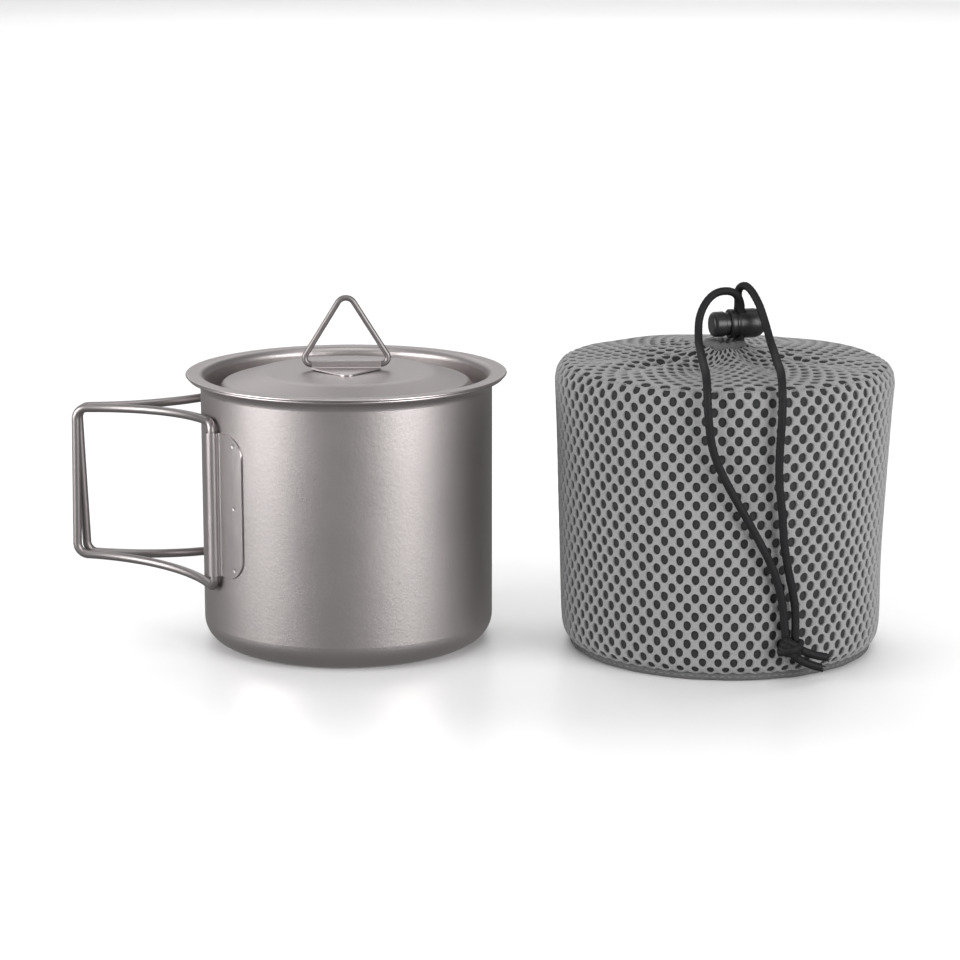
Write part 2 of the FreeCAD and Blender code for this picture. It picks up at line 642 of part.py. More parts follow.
def bail_bracket():
    """Saddle over the bail's leg: a square channel with a three-cornered wing on each side."""
    gauge, half = size("gauge"), size("channel_half")
    inner = size("bail_wire") + size("channel_play")
    axis, lift, reach = size("bail_rise"), size("wing_lift"), size("wing_reach")
    tip, play, soft = size("wing_tip"), size("wing_play"), size("saddle_corner")
    body = new_body("lid_bail_bracket")
    section = new_sketch(body, "saddle_section", "YZ_Plane")
    top = axis + inner
    outline(
        section,
        [
            (-reach, play),
            (-inner - gauge * 1.5, lift),
            (-inner, lift),
            (-inner, top - soft, soft, -1),
            (-inner + soft, top),
            (inner - soft, top, soft, -1),
            (inner, top - soft),
            (inner, lift),
            (inner + gauge * 1.5, lift),
            (reach, play),
            (reach, gauge + play),
            (inner + gauge * 1.3, lift + gauge),
            (inner + gauge, lift + gauge * 1.3),
            (inner + gauge, top, gauge, 1),
            (inner, top + gauge),
            (-inner, top + gauge, gauge, 1),
            (-inner - gauge, top),
            (-inner - gauge, lift + gauge * 1.3),
            (-inner - gauge * 1.3, lift + gauge),
            (-reach, gauge + play),
        ],
    )
    doc.recompute()
    pad(body, section, half * 2, middle=True)
    cut = new_sketch(body, "wing_corners", "XY_Plane")
    shoulder = inner + gauge * 1.2
    for way_x in (1, -1):
        for way_y in (1, -1):
            turned = way_x * way_y
            corners = [
                (half * way_x, shoulder * way_y),
                ((half + CUT_OVER) * way_x, shoulder * way_y),
                ((half + CUT_OVER) * way_x, (reach + CUT_OVER) * way_y),
                (tip * 0.4 * way_x, (reach + CUT_OVER) * way_y),
                (tip * 0.4 * way_x, (reach - 0.2) * way_y),
                (tip * way_x, (reach - 1.0) * way_y),
            ]
            outline(cut, corners if turned > 0 else corners[::-1])
    doc.recompute()
    pocket_through(body, cut)
    place(body, (0, 0, size("plateau_height")), size("lid_turn"))


def bag_panels():
    """Side panel with its gathered top, base panel and the binding along the seam between them."""
    mesh, foot, top = size("mesh_gauge"), size("bag_foot_radius"), size("bag_top_radius")
    low, shoulder = size("bag_foot_bend"), size("bag_shoulder")
    height, mouth, mouth_radius = size("bag_height"), size("mouth_height"), size("mouth_radius")
    seam, binding = size("seam_radius"), size("binding")
    stand = (size("bag_x"), size("bag_y"), 0)
    bend_height, lift = size("bag_bend_top"), size("base_lift")
    reach = seam - binding - size("base_play")
    side = turned_body(
        "bag_side_panel",
        [
            (foot - low * 0.493, low * 0.396, low, 1),
            (foot, bend_height),
            (top, height - shoulder, shoulder, 1),
            (top - shoulder, height),
            (mouth_radius, mouth),
            (mouth_radius, mouth - mesh),
            (top - shoulder, height - mesh, shoulder - mesh, -1),
            (top - mesh, height - shoulder),
            (foot - mesh, bend_height, low - mesh, -1),
            (foot - low * 0.76, low * 0.573),
        ],
    )
    base = turned_body(
        "bag_base_panel",
        [(0, lift), (reach, lift), (reach, lift + mesh), (0, lift + mesh)],
    )
    place(side, stand, size("bag_turn"))
    place(base, stand, size("bag_turn"))
    ring = doc.addObject("Part::Torus", "bag_base_binding")
    ring.Label = "bag_base_binding"
    bind(ring, "Radius1", seam)
    bind(ring, "Radius2", binding)
    place(ring, (size("bag_x"), size("bag_y"), binding), size("bag_turn"))
    parts.append(ring)


def mouth_point(x, y, z):
    """A point given along the cord lock's axis (x), across it (y) and up, in the bag's own frame."""
    turn = math.radians(number("lock_turn"))
    return FreeCAD.Vector(x * math.cos(turn) - y * math.sin(turn), x * math.sin(turn) + y * math.cos(turn), z)


def cord_exit(side):
    """Where one end of the cord's loop turns up into the lock, along and across the lock's axis."""
    major, pair = number("channel_radius"), number("cord_pair")
    return math.sqrt(major * major - pair * pair), side * pair


def cord_channel():
    """The hem round the mouth, hollow for the cord, with a slot where the cord's two ends leave it."""
    major, section = number("channel_radius"), number("channel_section")
    level, bore = number("channel_height"), number("cord") + number("cord_fit")
    centre, up = FreeCAD.Vector(0, 0, level), FreeCAD.Vector(0, 0, 1)
    tube = Part.makeTorus(major, section, centre, up)
    hollow = Part.makeTorus(major, bore, centre, up)
    along, across = cord_exit(1)
    start = FreeCAD.Vector(along - bore, -across - bore, level)
    slot = Part.makeBox(2 * bore, 2 * (across + bore), 2 * section, start)
    slot.rotate(FreeCAD.Vector(0, 0, 0), up, number("lock_turn"))
    new_solid("bag_cord_channel", tube.cut(hollow).cut(slot), bag_frame())


def cord_in_channel():
    """The hidden loop of the drawcord, and its two ends that rise through the cord lock."""
    major, level, radius = number("channel_radius"), number("channel_height"), number("cord")
    along, across = cord_exit(1)
    centre, up = FreeCAD.Vector(0, 0, level), FreeCAD.Vector(0, 0, 1)
    lean = math.degrees(math.atan2(across, along))
    turned = number("lock_turn")
    loop = Part.makeTorus(major, radius, centre, up, 0, 360, 360 - 2 * lean)
    loop.rotate(centre, up, turned + lean)
    solid = loop
    for side in (1, -1):
        foot = mouth_point(along, side * across, level)
        ball = Part.makeSphere(radius, foot)
        riser = Part.makeCylinder(radius, LEFT_ROUTE[0][2] - level, foot, up)
        solid = solid.fuse(ball).fuse(riser)
    new_solid("drawcord_in_channel", solid.removeSplitter(), bag_frame())


def tube(route, radius):
    """A tube along straight runs joined by tangent arcs, each as large as its two runs allow.

    It gives the solid, its length and the arcs' radii.
    """
    points = [FreeCAD.Vector(*point) for point in route]
    edges, radii, at, last = [], [], points[0], len(points) - 1
    for index in range(1, last):
        before, after = points[index] - points[index - 1], points[index + 1] - points[index]
        arc_radius = BEND_SHARE * min(before.Length, after.Length) / math.tan(before.getAngle(after) / 2)
        radii.append(round(arc_radius, 1))
        start, middle, end = bend(points[index], before, after, arc_radius)
        edges += [Part.LineSegment(at, start).toShape(), Part.Arc(start, middle, end).toShape()]
        at = end
    edges.append(Part.LineSegment(at, points[last]).toShape())
    return swept(edges, radius), sum(edge.Length for edge in edges), radii


def cord_tube(route, radius, name):
    """A stretch of the drawcord, with its measures printed."""
    solid, length, radii = tube(route, radius)
    share = solid.Volume / (math.pi * radius * radius * length)
    print(f"{name}: length {length:.1f} mm, volume {share:.4f} of section times length, radii {radii}")
    return solid


def free_cords():
    """The two hanging ends, the knot that ties them together and their short tails."""
    radius = number("cord")
    knot = Part.makeSphere(1.0)
    stretch = FreeCAD.Matrix()
    stretch.scale(*KNOT_HALVES)
    knot = knot.transformGeometry(stretch)
    facing = math.degrees(math.atan2(KNOT_CENTRE[0], -KNOT_CENTRE[1]))
    knot.rotate(FreeCAD.Vector(0, 0, 0), FreeCAD.Vector(0, 0, 1), facing)
    knot.translate(FreeCAD.Vector(*KNOT_CENTRE))
    for name, route in (("drawcord_left", LEFT_ROUTE), ("drawcord_right", RIGHT_ROUTE)):
        new_solid(name, cord_tube(route, radius, name).cut(knot), bag_frame())
    new_solid("drawcord_knot", knot, bag_frame())
    tails = [cord_tube(route, radius, "tail").cut(knot) for route in TAIL_ROUTES]
    new_solid("drawcord_tails", Part.Compound(tails), bag_frame())


def lock_frame():
    """The placement that carries a shape turned about +X to the cord lock's axis, from its open end."""
    turn = FreeCAD.Rotation(FreeCAD.Vector(0, 0, 1), number("lock_turn"))
    start = mouth_point(number("lock_rim"), 0, number("lock_height"))
    return bag_frame().multiply(FreeCAD.Placement(start, turn))


def lock_hole(body, name, low, high, half_width):
    """A slot for the cord pair, cut down through a lock piece."""
    cut = new_sketch(body, name, "XY_Plane")
    outline(cut, [(low, -half_width), (high, -half_width), (high, half_width), (low, half_width)])
    doc.recompute()
    pocket_through(body, cut)


def cord_lock():
    """Barrel with a domed end, plunger with a button, and the spring between them."""
    radius, length, bore, depth = (size(n) for n in ("lock_radius", "lock_length", "lock_bore", "lock_depth"))
    barrel = turned_body(
        "cord_lock_barrel",
        [
            (depth, 0),
            (length, 0),
            (length, radius * 0.3, radius * 0.75, 1),
            (length - radius * 0.56, radius - 0.25),
            (length - radius * 0.75, radius),
            (3.2, radius),
            (2.7, radius - 0.35),
            (2.2, radius - 0.35),
            (1.7, radius),
            (0.5, radius, 0.5, 1),
            (0, radius - 0.5),
            (0, bore),
            (depth, bore),
        ],
        "XY_Plane",
        "H_Axis",
    )
    centre = Size(cord_exit(1)[0], "sqrt(Sizes.channel_radius ^ 2 - Sizes.cord_pair ^ 2)") - size("lock_rim")
    room = size("cord") + size("hole_play")
    across = size("cord_pair") + room
    lock_hole(barrel, "barrel_hole", centre - room, centre + room, across)
    barrel.Placement = lock_frame()
    stem, stem_length = size("stem_radius"), size("stem_length")
    button, button_length, gap = size("button_radius"), size("button_length"), size("button_gap")
    plunger = turned_body(
        "cord_lock_plunger",
        [
            (-gap - button_length, 0),
            (stem_length - gap, 0),
            (stem_length - gap, stem - 0.3),
            (stem_length - gap - 0.3, stem),
            (-gap, stem),
            (-gap, button - 0.4, 0.4, 1),
            (-gap - 0.4, button),
            (-gap - button_length + 1.6, button, 1.6, 1),
            (-gap - button_length, button - 1.6),
        ],
        "XY_Plane",
        "H_Axis",
    )
    slot = size("cord_pair") + size("cord") + size("slot_play")
    lock_hole(plunger, "plunger_slot", centre - room - size("press"), centre + room, slot)
    plunger.Placement = lock_frame()
    wire, coil, play = number("spring_wire"), number("spring_radius"), number("spring_play")
    start = number("stem_length") - number("button_gap") + wire + play
    end = number("lock_depth") - wire - play
    steps = SPRING_TURNS * SPRING_STEPS
    route = []
    for step in range(steps + 1):
        turn = 2 * math.pi * step / SPRING_STEPS
        route.append((start + (end - start) * step / steps, coil * math.cos(turn), coil * math.sin(turn)))
    spring = tube(route, wire)[0]
    new_solid("cord_lock_spring", spring, lock_frame())


def check(part):
    """Stops the build if a sub-part failed."""
    if part.Shape.isNull() or not part.Shape.isValid():
        raise RuntimeError(f"{part.Label} has no valid shape")
    if not part.Shape.Solids or min(solid.Volume for solid in part.Shape.Solids) <= 0:
        raise RuntimeError(f"{part.Label} holds no closed solid")


pot_shell()
lid_shell()
bracket("front_handle_bracket", 1)
bracket("rear_handle_bracket", -1)
handle("front_handle", 1)
handle("rear_handle", -1)
bail_bracket()
lid_bail()
bag_panels()
cord_channel()
cord_in_channel()
free_cords()
cord_lock()
doc.recompute()
failed = [item.Name for item in doc.Objects if "Invalid" in item.State or "Error" in item.State]
if failed:
    raise RuntimeError(f"these objects failed: {failed}")
os.makedirs("parts", exist_ok=True)
for part in parts:
    check(part)
    part.Shape.exportStep(f"parts/{part.Label}.step")
    print(f"{part.Label}: {len(part.Shape.Solids)} solid, {part.Shape.Volume:.1f} mm3")
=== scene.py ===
"""Looks for a camping pot set: blasted titanium, a spacer-mesh bag, its braided drawcord and its lock."""

import bisect
import math
import random

import bmesh
import bpy
from bpy.props import FloatProperty, FloatVectorProperty, IntProperty, PointerProperty
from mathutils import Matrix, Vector


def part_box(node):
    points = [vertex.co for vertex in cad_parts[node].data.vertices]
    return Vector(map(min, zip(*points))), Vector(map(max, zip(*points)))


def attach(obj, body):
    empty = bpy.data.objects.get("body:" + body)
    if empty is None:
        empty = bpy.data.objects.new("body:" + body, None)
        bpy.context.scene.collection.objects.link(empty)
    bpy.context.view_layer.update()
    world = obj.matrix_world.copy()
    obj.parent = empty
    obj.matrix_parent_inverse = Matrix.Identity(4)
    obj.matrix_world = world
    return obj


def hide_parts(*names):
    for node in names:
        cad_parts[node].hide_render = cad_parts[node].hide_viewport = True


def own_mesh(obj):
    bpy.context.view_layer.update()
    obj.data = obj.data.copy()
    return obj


bl_info = {
    "name": "Camping pot set",
    "version": (1, 0, 0),
    "blender": (4, 5, 0),
    "location": "3D View > Sidebar > Pot set",
    "description": "Finishes a titanium pot and makes the mesh bag that it packs into",
    "category": "Object",
}

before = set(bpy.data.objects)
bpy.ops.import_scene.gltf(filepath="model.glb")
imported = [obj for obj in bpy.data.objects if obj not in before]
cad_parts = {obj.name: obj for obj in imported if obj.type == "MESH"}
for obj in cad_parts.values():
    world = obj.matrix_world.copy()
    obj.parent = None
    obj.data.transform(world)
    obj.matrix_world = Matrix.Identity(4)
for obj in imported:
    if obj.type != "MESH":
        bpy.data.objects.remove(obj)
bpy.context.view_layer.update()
MM = 0.001

# Centrelines of the drawcord's two free ends, from the cord lock to the knot, in the bag's own frame in
# metres: +X to the right, -Y to the front, +Z up, from the middle of the bag's base.
LEFT_ROUTE = [
    (0.00538, 0.00036, 0.1161), (0.00538, 0.00036, 0.1189), (0.0024, -0.0026, 0.1229),
    (-0.0042, -0.0054, 0.1224), (-0.0086, -0.0084, 0.1158), (-0.0088, -0.0130, 0.1079),
    (-0.0076, -0.0225, 0.1045), (-0.0064, -0.0400, 0.1034), (-0.0055, -0.0534, 0.1031),
    (-0.0050, -0.0599, 0.0997), (-0.0046, -0.0617, 0.0910), (-0.0030, -0.0605, 0.0786),
    (0.0017, -0.0598, 0.0684), (0.0074, -0.0587, 0.0584), (0.0128, -0.0574, 0.0486),
    (0.0174, -0.0558, 0.0394), (0.0199, -0.0545, 0.0310), (0.0212, -0.0537, 0.0234),
    (0.0220, -0.0535, 0.0146),
]
RIGHT_ROUTE = [
    (0.00435, 0.00318, 0.1161), (0.00435, 0.00318, 0.1190), (0.0044, 0.0025, 0.1232),
    (0.0074, -0.0012, 0.1246), (0.0112, -0.0046, 0.1194), (0.0136, -0.0072, 0.1128),
    (0.0154, -0.0120, 0.1070), (0.0168, -0.0220, 0.1046), (0.0178, -0.0380, 0.1035),
    (0.0186, -0.0500, 0.1032), (0.0190, -0.0569, 0.0997), (0.0192, -0.0588, 0.0910),
    (0.0186, -0.0578, 0.0800), (0.0185, -0.0571, 0.0690), (0.0199, -0.0562, 0.0584),
    (0.0206, -0.0555, 0.0480), (0.0222, -0.0544, 0.0388), (0.0241, -0.0531, 0.0306),
    (0.0251, -0.0524, 0.0234), (0.0250, -0.0527, 0.0146),
]
TAIL_ROUTES = [
    [(0.0246, -0.0534, 0.0096), (0.0284, -0.0519, 0.0066), (0.0336, -0.0496, 0.0049)],
    [(0.0270, -0.0526, 0.0116), (0.0310, -0.0508, 0.0092), (0.0356, -0.0484, 0.0081)],
]

# The cord lock's axis is turned by this from +X.
LOCK_TURN = math.radians(20.0)


# ---- settings


def colour_setting(name, text, *value):
    return FloatVectorProperty(name=name, description=text, subtype="COLOR", size=4, default=(*value, 1.0))


def length_setting(name, text, value):
    return FloatProperty(name=name, description=text, default=value, unit="LENGTH")


def angle_setting(name, text, degrees):
    return FloatProperty(name=name, description=text, default=math.radians(degrees), subtype="ANGLE")


def plain_setting(name, text, value):
    return FloatProperty(name=name, description=text, default=value)


def count_setting(name, text, value):
    return IntProperty(name=name, description=text, default=value)


class MetalSettings(bpy.types.PropertyGroup):
    """Colours and surface of the titanium."""

    sheet_color: colour_setting("Sheet colour", "Bead-blasted titanium sheet", 0.475, 0.44, 0.437)
    wire_color: colour_setting("Wire colour", "Titanium wire of handles and bail", 0.36, 0.335, 0.332)
    roughness: plain_setting("Roughness", "Roughness of the blasted sheet", 0.44)
    grain: length_setting("Grain", "Size of the blasting's grain", 0.22 * MM)
    dimple: length_setting("Dimple", "Size of the faint dimples left by drawing", 1.15 * MM)


class BagSettings(bpy.types.PropertyGroup):
    """Sizes and colours of the spacer-mesh bag."""

    net_color: colour_setting("Net colour", "Face yarn of the spacer mesh", 0.25, 0.25, 0.252)
    lining_color: colour_setting("Lining colour", "Back of the mesh, seen through holes", 0.032, 0.032, 0.033)
    columns: count_setting("Columns", "Holes in one row round the bag", 66)
    row_pitch: length_setting("Row pitch", "Distance between rows of holes", 3.2 * MM)
    hole_width: plain_setting("Hole width", "Share of a cell's width that its hole takes", 0.50)
    hole_height: plain_setting("Hole height", "Share of a cell's height that its hole takes", 0.97)
    net_depth: length_setting("Net depth", "Thickness of the net over its lining", 0.9 * MM)
    cloth: length_setting("Cloth", "Thickness of the whole spacer mesh", 2.0 * MM)
    pleats: count_setting("Pleats", "Folds gathered at the mouth", 9)
    pleat_depth: length_setting("Pleat depth", "Depth of the folds at the mouth", 3.4 * MM)
    sag: length_setting("Sag", "Depth of the wall's soft hollows", 0.45 * MM)
    crease: length_setting("Crease", "Depth to which the pleats run on down the wall", 0.35 * MM)


class CordSettings(bpy.types.PropertyGroup):
    """Sizes and colours of the drawcord and its lock."""

    diameter: length_setting("Diameter", "Diameter of the drawcord", 2.8 * MM)
    color: colour_setting("Colour", "Braided polyester", 0.009, 0.009, 0.010)
    bumps: count_setting("Bumps", "Yarns side by side round the cord", 6)
    braid_pitch: length_setting("Braid pitch", "Length of one diamond of the braid", 1.5 * MM)
    plastic: colour_setting("Plastic", "Moulded cord lock", 0.011, 0.011, 0.012)


class StageSettings(bpy.types.PropertyGroup):
    """Floor, lights and camera."""

    floor_color: colour_setting("Floor colour", "Plain pale floor", 0.9, 0.9, 0.9)
    azimuth: angle_setting("Azimuth", "How far the camera stands to the right of the front", 7.8)
    elevation: angle_setting("Elevation", "Camera's height as an angle", 12.6)
    distance: length_setting("Distance", "From the pot's middle to the camera", 0.999)
    lens: FloatProperty(name="Lens", description="Focal length", default=108.0, unit="CAMERA")
    fill: plain_setting("Fill", "Brightness of the light from all round", 0.22)


def metal():
    return bpy.context.scene.pot_metal


def bag():
    return bpy.context.scene.pot_bag


def cords():
    return bpy.context.scene.pot_cord


# ---- nodes


def fill(tree, socket, value):
    """Gives a socket a number, or a link from another socket or from a material's value."""
    if isinstance(value, Value):
        value = value.socket
    if isinstance(value, bpy.types.NodeSocket):
        tree.links.new(value, socket)
    elif value is not None:
        socket.default_value = value


def add_node(tree, kind, settings, *sockets, **named):
    """Adds a node: its settings first, then its sockets in order or by name."""
    made = tree.nodes.new(kind)
    for name, value in settings.items():
        setattr(made, name, value)
    for place, value in enumerate(sockets):
        fill(tree, made.inputs[place], value)
    for name, value in named.items():
        fill(tree, made.inputs[name.replace("_", " ")], value)
    return made


# ---- materials


class Value:
    """A number in a material's tree. An expression on values adds the Math nodes that work it out."""

    def __init__(self, tree, socket):
        self.tree, self.socket = tree, socket

    def _math(self, operation, *others):
        node = add_node(self.tree, "ShaderNodeMath", {"operation": operation}, *others)
        return Value(self.tree, node.outputs[0])

    def __add__(self, other):
        return self._math("ADD", self, other)

    __radd__ = __add__

    def __sub__(self, other):
        return self._math("SUBTRACT", self, other)

    def __mul__(self, other):
        return self._math("MULTIPLY", self, other)

    __rmul__ = __mul__

    def root(self):
        return self._math("SQRT", self)

    def step(self, low, high):
        """0 below low, 1 above high, and smooth between them."""
        settings = {"interpolation_type": "SMOOTHSTEP"}
        node = add_node(self.tree, "ShaderNodeMapRange", settings, self, low, high, 0.0, 1.0)
        return Value(self.tree, node.outputs[0])


class Finish:
    """A new material with a Principled shader, and what feeds it."""

    def __init__(self, name):
        self.material = bpy.data.materials.new(name)
        self.material.use_nodes = True
        self.tree = self.material.node_tree
        self.shader = next(node for node in self.tree.nodes if node.type == "BSDF_PRINCIPLED")
        self.place = self.tree.nodes.new("ShaderNodeTexCoord").outputs["Object"]

    def noise(self, size, detail=2.0, rough=0.5, stretch=None):
        """Noise whose features are about size across; stretch is a scale for each axis."""
        place = self.place
        if stretch:
            place = add_node(self.tree, "ShaderNodeMapping", {}, place, Scale=stretch).outputs[0]
        made = add_node(
            self.tree, "ShaderNodeTexNoise", {}, Vector=place, Scale=1.0 / size, Detail=detail,
            Roughness=rough,
        )
        return Value(self.tree, made.outputs["Fac"])

    def cells(self, size):
        made = add_node(
            self.tree, "ShaderNodeTexVoronoi", {"feature": "F1"}, Vector=self.place, Scale=1.0 / size
        )
        return Value(self.tree, made.outputs["Distance"])

    def axes(self):
        parts = add_node(self.tree, "ShaderNodeSeparateXYZ", {}, self.place)
        return [Value(self.tree, socket) for socket in parts.outputs]

    def blend(self, share, first, second):
        """A colour between two, by a share that changes over the surface."""
        made = add_node(self.tree, "ShaderNodeMix", {"data_type": "RGBA"}, Factor=share)
        # The colours' sockets are the seventh and eighth of those that the node has for every data type.
        fill(self.tree, made.inputs[6], first)
        fill(self.tree, made.inputs[7], second)
        return made.outputs[2]

    def bump(self, height, distance, strength=1.0, under=None):
        made = add_node(
            self.tree, "ShaderNodeBump", {}, Strength=strength, Distance=distance, Height=height, Normal=under
        )
        return made.outputs[0]

    def feed(self, **sockets):
        """Fills the shader's own sockets, and gives the material."""
        for name, value in sockets.items():
            fill(self.tree, self.shader.inputs[name.replace("_", " ").title()], value)
        return self.material


def shade(colour, share):
    return (colour[0] * share, colour[1] * share, colour[2] * share, 1.0)


def titanium(name, colour, roughness, grain_depth, dimple_depth, painted_rim_highlight_from=None):
    """Bead-blasted titanium: fine grain, faint dimples, drifting tone, and past a radius a smoother rim with
    a painted highlight.
    """
    finish = Finish(name)
    settings = metal()
    drift = finish.noise(38 * MM, 3.0)
    streaks = finish.noise(3.2 * MM, 3.0, 0.6, (1.0, 1.0, 0.10))
    grain = finish.noise(settings.grain, 2.0, 0.65)
    dimples = finish.noise(settings.dimple, 2.0, 0.5)
    tone = finish.blend(drift, shade(colour, 0.93), shade(colour, 1.07))
    tone = finish.blend(streaks * 0.35, tone, shade(colour, 0.88))
    tone = finish.blend(grain.step(0.3, 0.75) * 0.25, tone, shade(colour, 1.25))
    rough = roughness + (drift - 0.5) * 0.10 + (grain - 0.5) * 0.16
    if painted_rim_highlight_from is not None:
        x, y, _ = finish.axes()
        # Past the radius the tone is lightened as a painted highlight along the rim, and the roughness is
        # lowered.
        painted_rim_highlight = (x * x + y * y).root().step(painted_rim_highlight_from, painted_rim_highlight_from + 0.9 * MM)
        tone = finish.blend(painted_rim_highlight * 0.7, tone, shade(colour, 1.35))
        rough = rough - painted_rim_highlight * 0.12
    under = finish.bump(dimples, dimple_depth)
    normal = finish.bump(grain, grain_depth, 1.0, under)
    return finish.feed(base_color=tone, metallic=1.0, roughness=rough, normal=normal)


def scuffed(name, colour, roughness):
    """The brackets' sheet: the blasted titanium with fine scuffs along it."""
    finish = Finish(name)
    drift = finish.noise(9 * MM, 3.0)
    scuffs = finish.noise(0.7 * MM, 4.0, 0.7, (1.0, 1.0, 0.08))
    grain = finish.noise(metal().grain, 2.0, 0.65)
    tone = finish.blend(drift, shade(colour, 0.94), shade(colour, 1.10))
    tone = finish.blend(scuffs.step(0.5, 0.8) * 0.4, tone, shade(colour, 1.3))
    normal = finish.bump(grain, 0.012 * MM, 1.0, finish.bump(scuffs, 0.015 * MM))
    rough = roughness + (scuffs - 0.5) * 0.14
    return finish.feed(base_color=tone, metallic=1.0, roughness=rough, normal=normal)


def knitted(name, colour, yarn, contrast=0.25):
    """Knitted or woven polyester: matt, with fine yarn and small tonal change."""
    finish = Finish(name)
    fibres = finish.noise(yarn, 3.0, 0.7)
    loops = finish.cells(yarn * 2.4)
    drift = finish.noise(14 * MM, 2.0)
    tone = finish.blend(fibres.step(0.25, 0.8), shade(colour, 1.0 - contrast), shade(colour, 1.0 + contrast))
    tone = finish.blend(drift * 0.5, tone, shade(colour, 0.8))
    normal = finish.bump(fibres, 0.05 * MM, 0.8, finish.bump(loops, 0.12 * MM, 0.7))
    finish.shader.inputs["Specular IOR Level"].default_value = 0.2
    return finish.feed(base_color=tone, roughness=0.86 + (fibres - 0.5) * 0.12, normal=normal)


def braided(name, colour):
    """Braided or twisted polyester: matt yarns with a dull gleam where they are rubbed."""
    finish = Finish(name)
    fibres = finish.noise(0.18 * MM, 3.0, 0.7)
    drift = finish.noise(5 * MM, 2.0)
    tone = finish.blend(fibres.step(0.4, 0.8), shade(colour, 0.7), shade(colour, 2.4))
    tone = finish.blend(drift * 0.4, tone, shade(colour, 1.6))
    finish.shader.inputs["Specular IOR Level"].default_value = 0.18
    normal = finish.bump(fibres, 0.03 * MM, 0.8)
    return finish.feed(base_color=tone, roughness=0.62 + (fibres - 0.5) * 0.2, normal=normal)


def moulded(name, colour):
    """Moulded acetal with a fine spark-eroded texture."""
    finish = Finish(name)
    texture = finish.noise(0.25 * MM, 2.0, 0.6)
    drift = finish.noise(6 * MM, 2.0)
    tone = finish.blend(drift, shade(colour, 0.8), shade(colour, 1.5))
    normal = finish.bump(texture, 0.01 * MM, 0.7)
    return finish.feed(base_color=tone, roughness=0.36 + (texture - 0.5) * 0.2, normal=normal)


def drawn_wire(name, colour):
    """Bright spring wire."""
    finish = Finish(name)
    drawing = finish.noise(0.3 * MM, 3.0, 0.6)
    tone = finish.blend(drawing, shade(colour, 0.8), shade(colour, 1.1))
    normal = finish.bump(drawing, 0.01 * MM)
    return finish.feed(base_color=tone, metallic=1.0, roughness=0.28 + drawing * 0.1, normal=normal)


# ---- meshes


def in_scene(name, data):
    """A new object in the scene, with this data."""
    made = bpy.data.objects.new(name, data)
    bpy.context.scene.collection.objects.link(made)
    return made


def new_object(name, vertices, faces, material, edges=()):
    mesh = bpy.data.meshes.new(name)
    mesh.from_pydata([tuple(v) for v in vertices], list(edges), faces)
    mesh.update()
    for polygon in mesh.polygons:
        polygon.use_smooth = True
    if material is not None:
        mesh.materials.append(material)
    return in_scene(name, mesh)


def as_plain_mesh(made):
    """Turns an object with modifiers into one plain mesh."""
    evaluated = made.evaluated_get(bpy.context.evaluated_depsgraph_get())
    mesh = bpy.data.meshes.new_from_object(evaluated)
    made.modifiers.clear()
    old, made.data = made.data, mesh
    mesh.name = made.name
    bpy.data.meshes.remove(old)
    return made


def join_meshes(name, objects):
    """One object from several, with their materials kept."""
    joined = bmesh.new()
    materials = []
    for item in objects:
        offset = len(materials)
        materials += list(item.data.materials)
        before = len(joined.faces)
        joined.from_mesh(item.data)
        joined.faces.ensure_lookup_table()
        for face in joined.faces[before:]:
            face.material_index += offset
    mesh = bpy.data.meshes.new(name)
    joined.to_mesh(mesh)
    joined.free()
    for material in materials:
        mesh.materials.append(material)
    for item in objects:
        data = item.data
        bpy.data.objects.remove(item)
        bpy.data.meshes.remove(data)
    return in_scene(name, mesh)


def ring_faces(rows, columns, close_rows=False, flip=False):
    """Quads between rows of points that go round; close_rows joins the last row to the first."""
    faces = []
    for row in range(rows if close_rows else rows - 1):
        below, above = row * columns, (row + 1) % rows * columns
        for column in range(columns):
            right = (column + 1) % columns
            face = (below + column, below + right, above + right, above + column)
            faces.append(face[::-1] if flip else face)
    return faces


def carried_frames(points):
    """A pair of directions across a line at each of its points, carried along without twist."""
    tangents = []
    for index in range(len(points)):
        before, after = points[max(index - 1, 0)], points[min(index + 1, len(points) - 1)]
        tangents.append((after - before).normalized())
    first = tangents[0].orthogonal().normalized()
    frames = []
    for index, tangent in enumerate(tangents):
        if index:
            first = tangents[index - 1].rotation_difference(tangent) @ first
            first = (first - tangent * first.dot(tangent)).normalized()
        frames.append((first, tangent.cross(first)))
    return frames


def swept_tube(name, points, sides, radius_at, material):
    """A tube along points; radius_at takes the distance along and the angle round."""
    frames = carried_frames(points)
    vertices, along = [], 0.0
    for index, (point, (first, second)) in enumerate(zip(points, frames)):
        along += (point - points[index - 1]).length if index else 0.0
        for side in range(sides):
            angle = math.tau * side / sides
            out = first * math.cos(angle) + second * math.sin(angle)
            vertices.append(point + out * radius_at(along, angle))
    faces, count = ring_faces(len(points), sides), len(vertices)
    vertices += [points[0], points[-1]]
    for side in range(sides):
        right = (side + 1) % sides
        faces += [(right, side, count), (count - sides + side, count - sides + right, count + 1)]
    return new_object(name, vertices, faces, material)


def spaced(points, step):
    """The same line with its points evenly spaced."""
    lengths = [0.0]
    for before, after in zip(points, points[1:]):
        lengths.append(lengths[-1] + (after - before).length)
    count = max(2, round(lengths[-1] / step) + 1)
    result, index = [], 0
    for number in range(count):
        wanted = lengths[-1] * number / (count - 1)
        while index < len(points) - 2 and lengths[index + 1] < wanted:
            index += 1
        span = max(lengths[index + 1] - lengths[index], 1e-9)
        result.append(points[index].lerp(points[index + 1], (wanted - lengths[index]) / span))
    return result


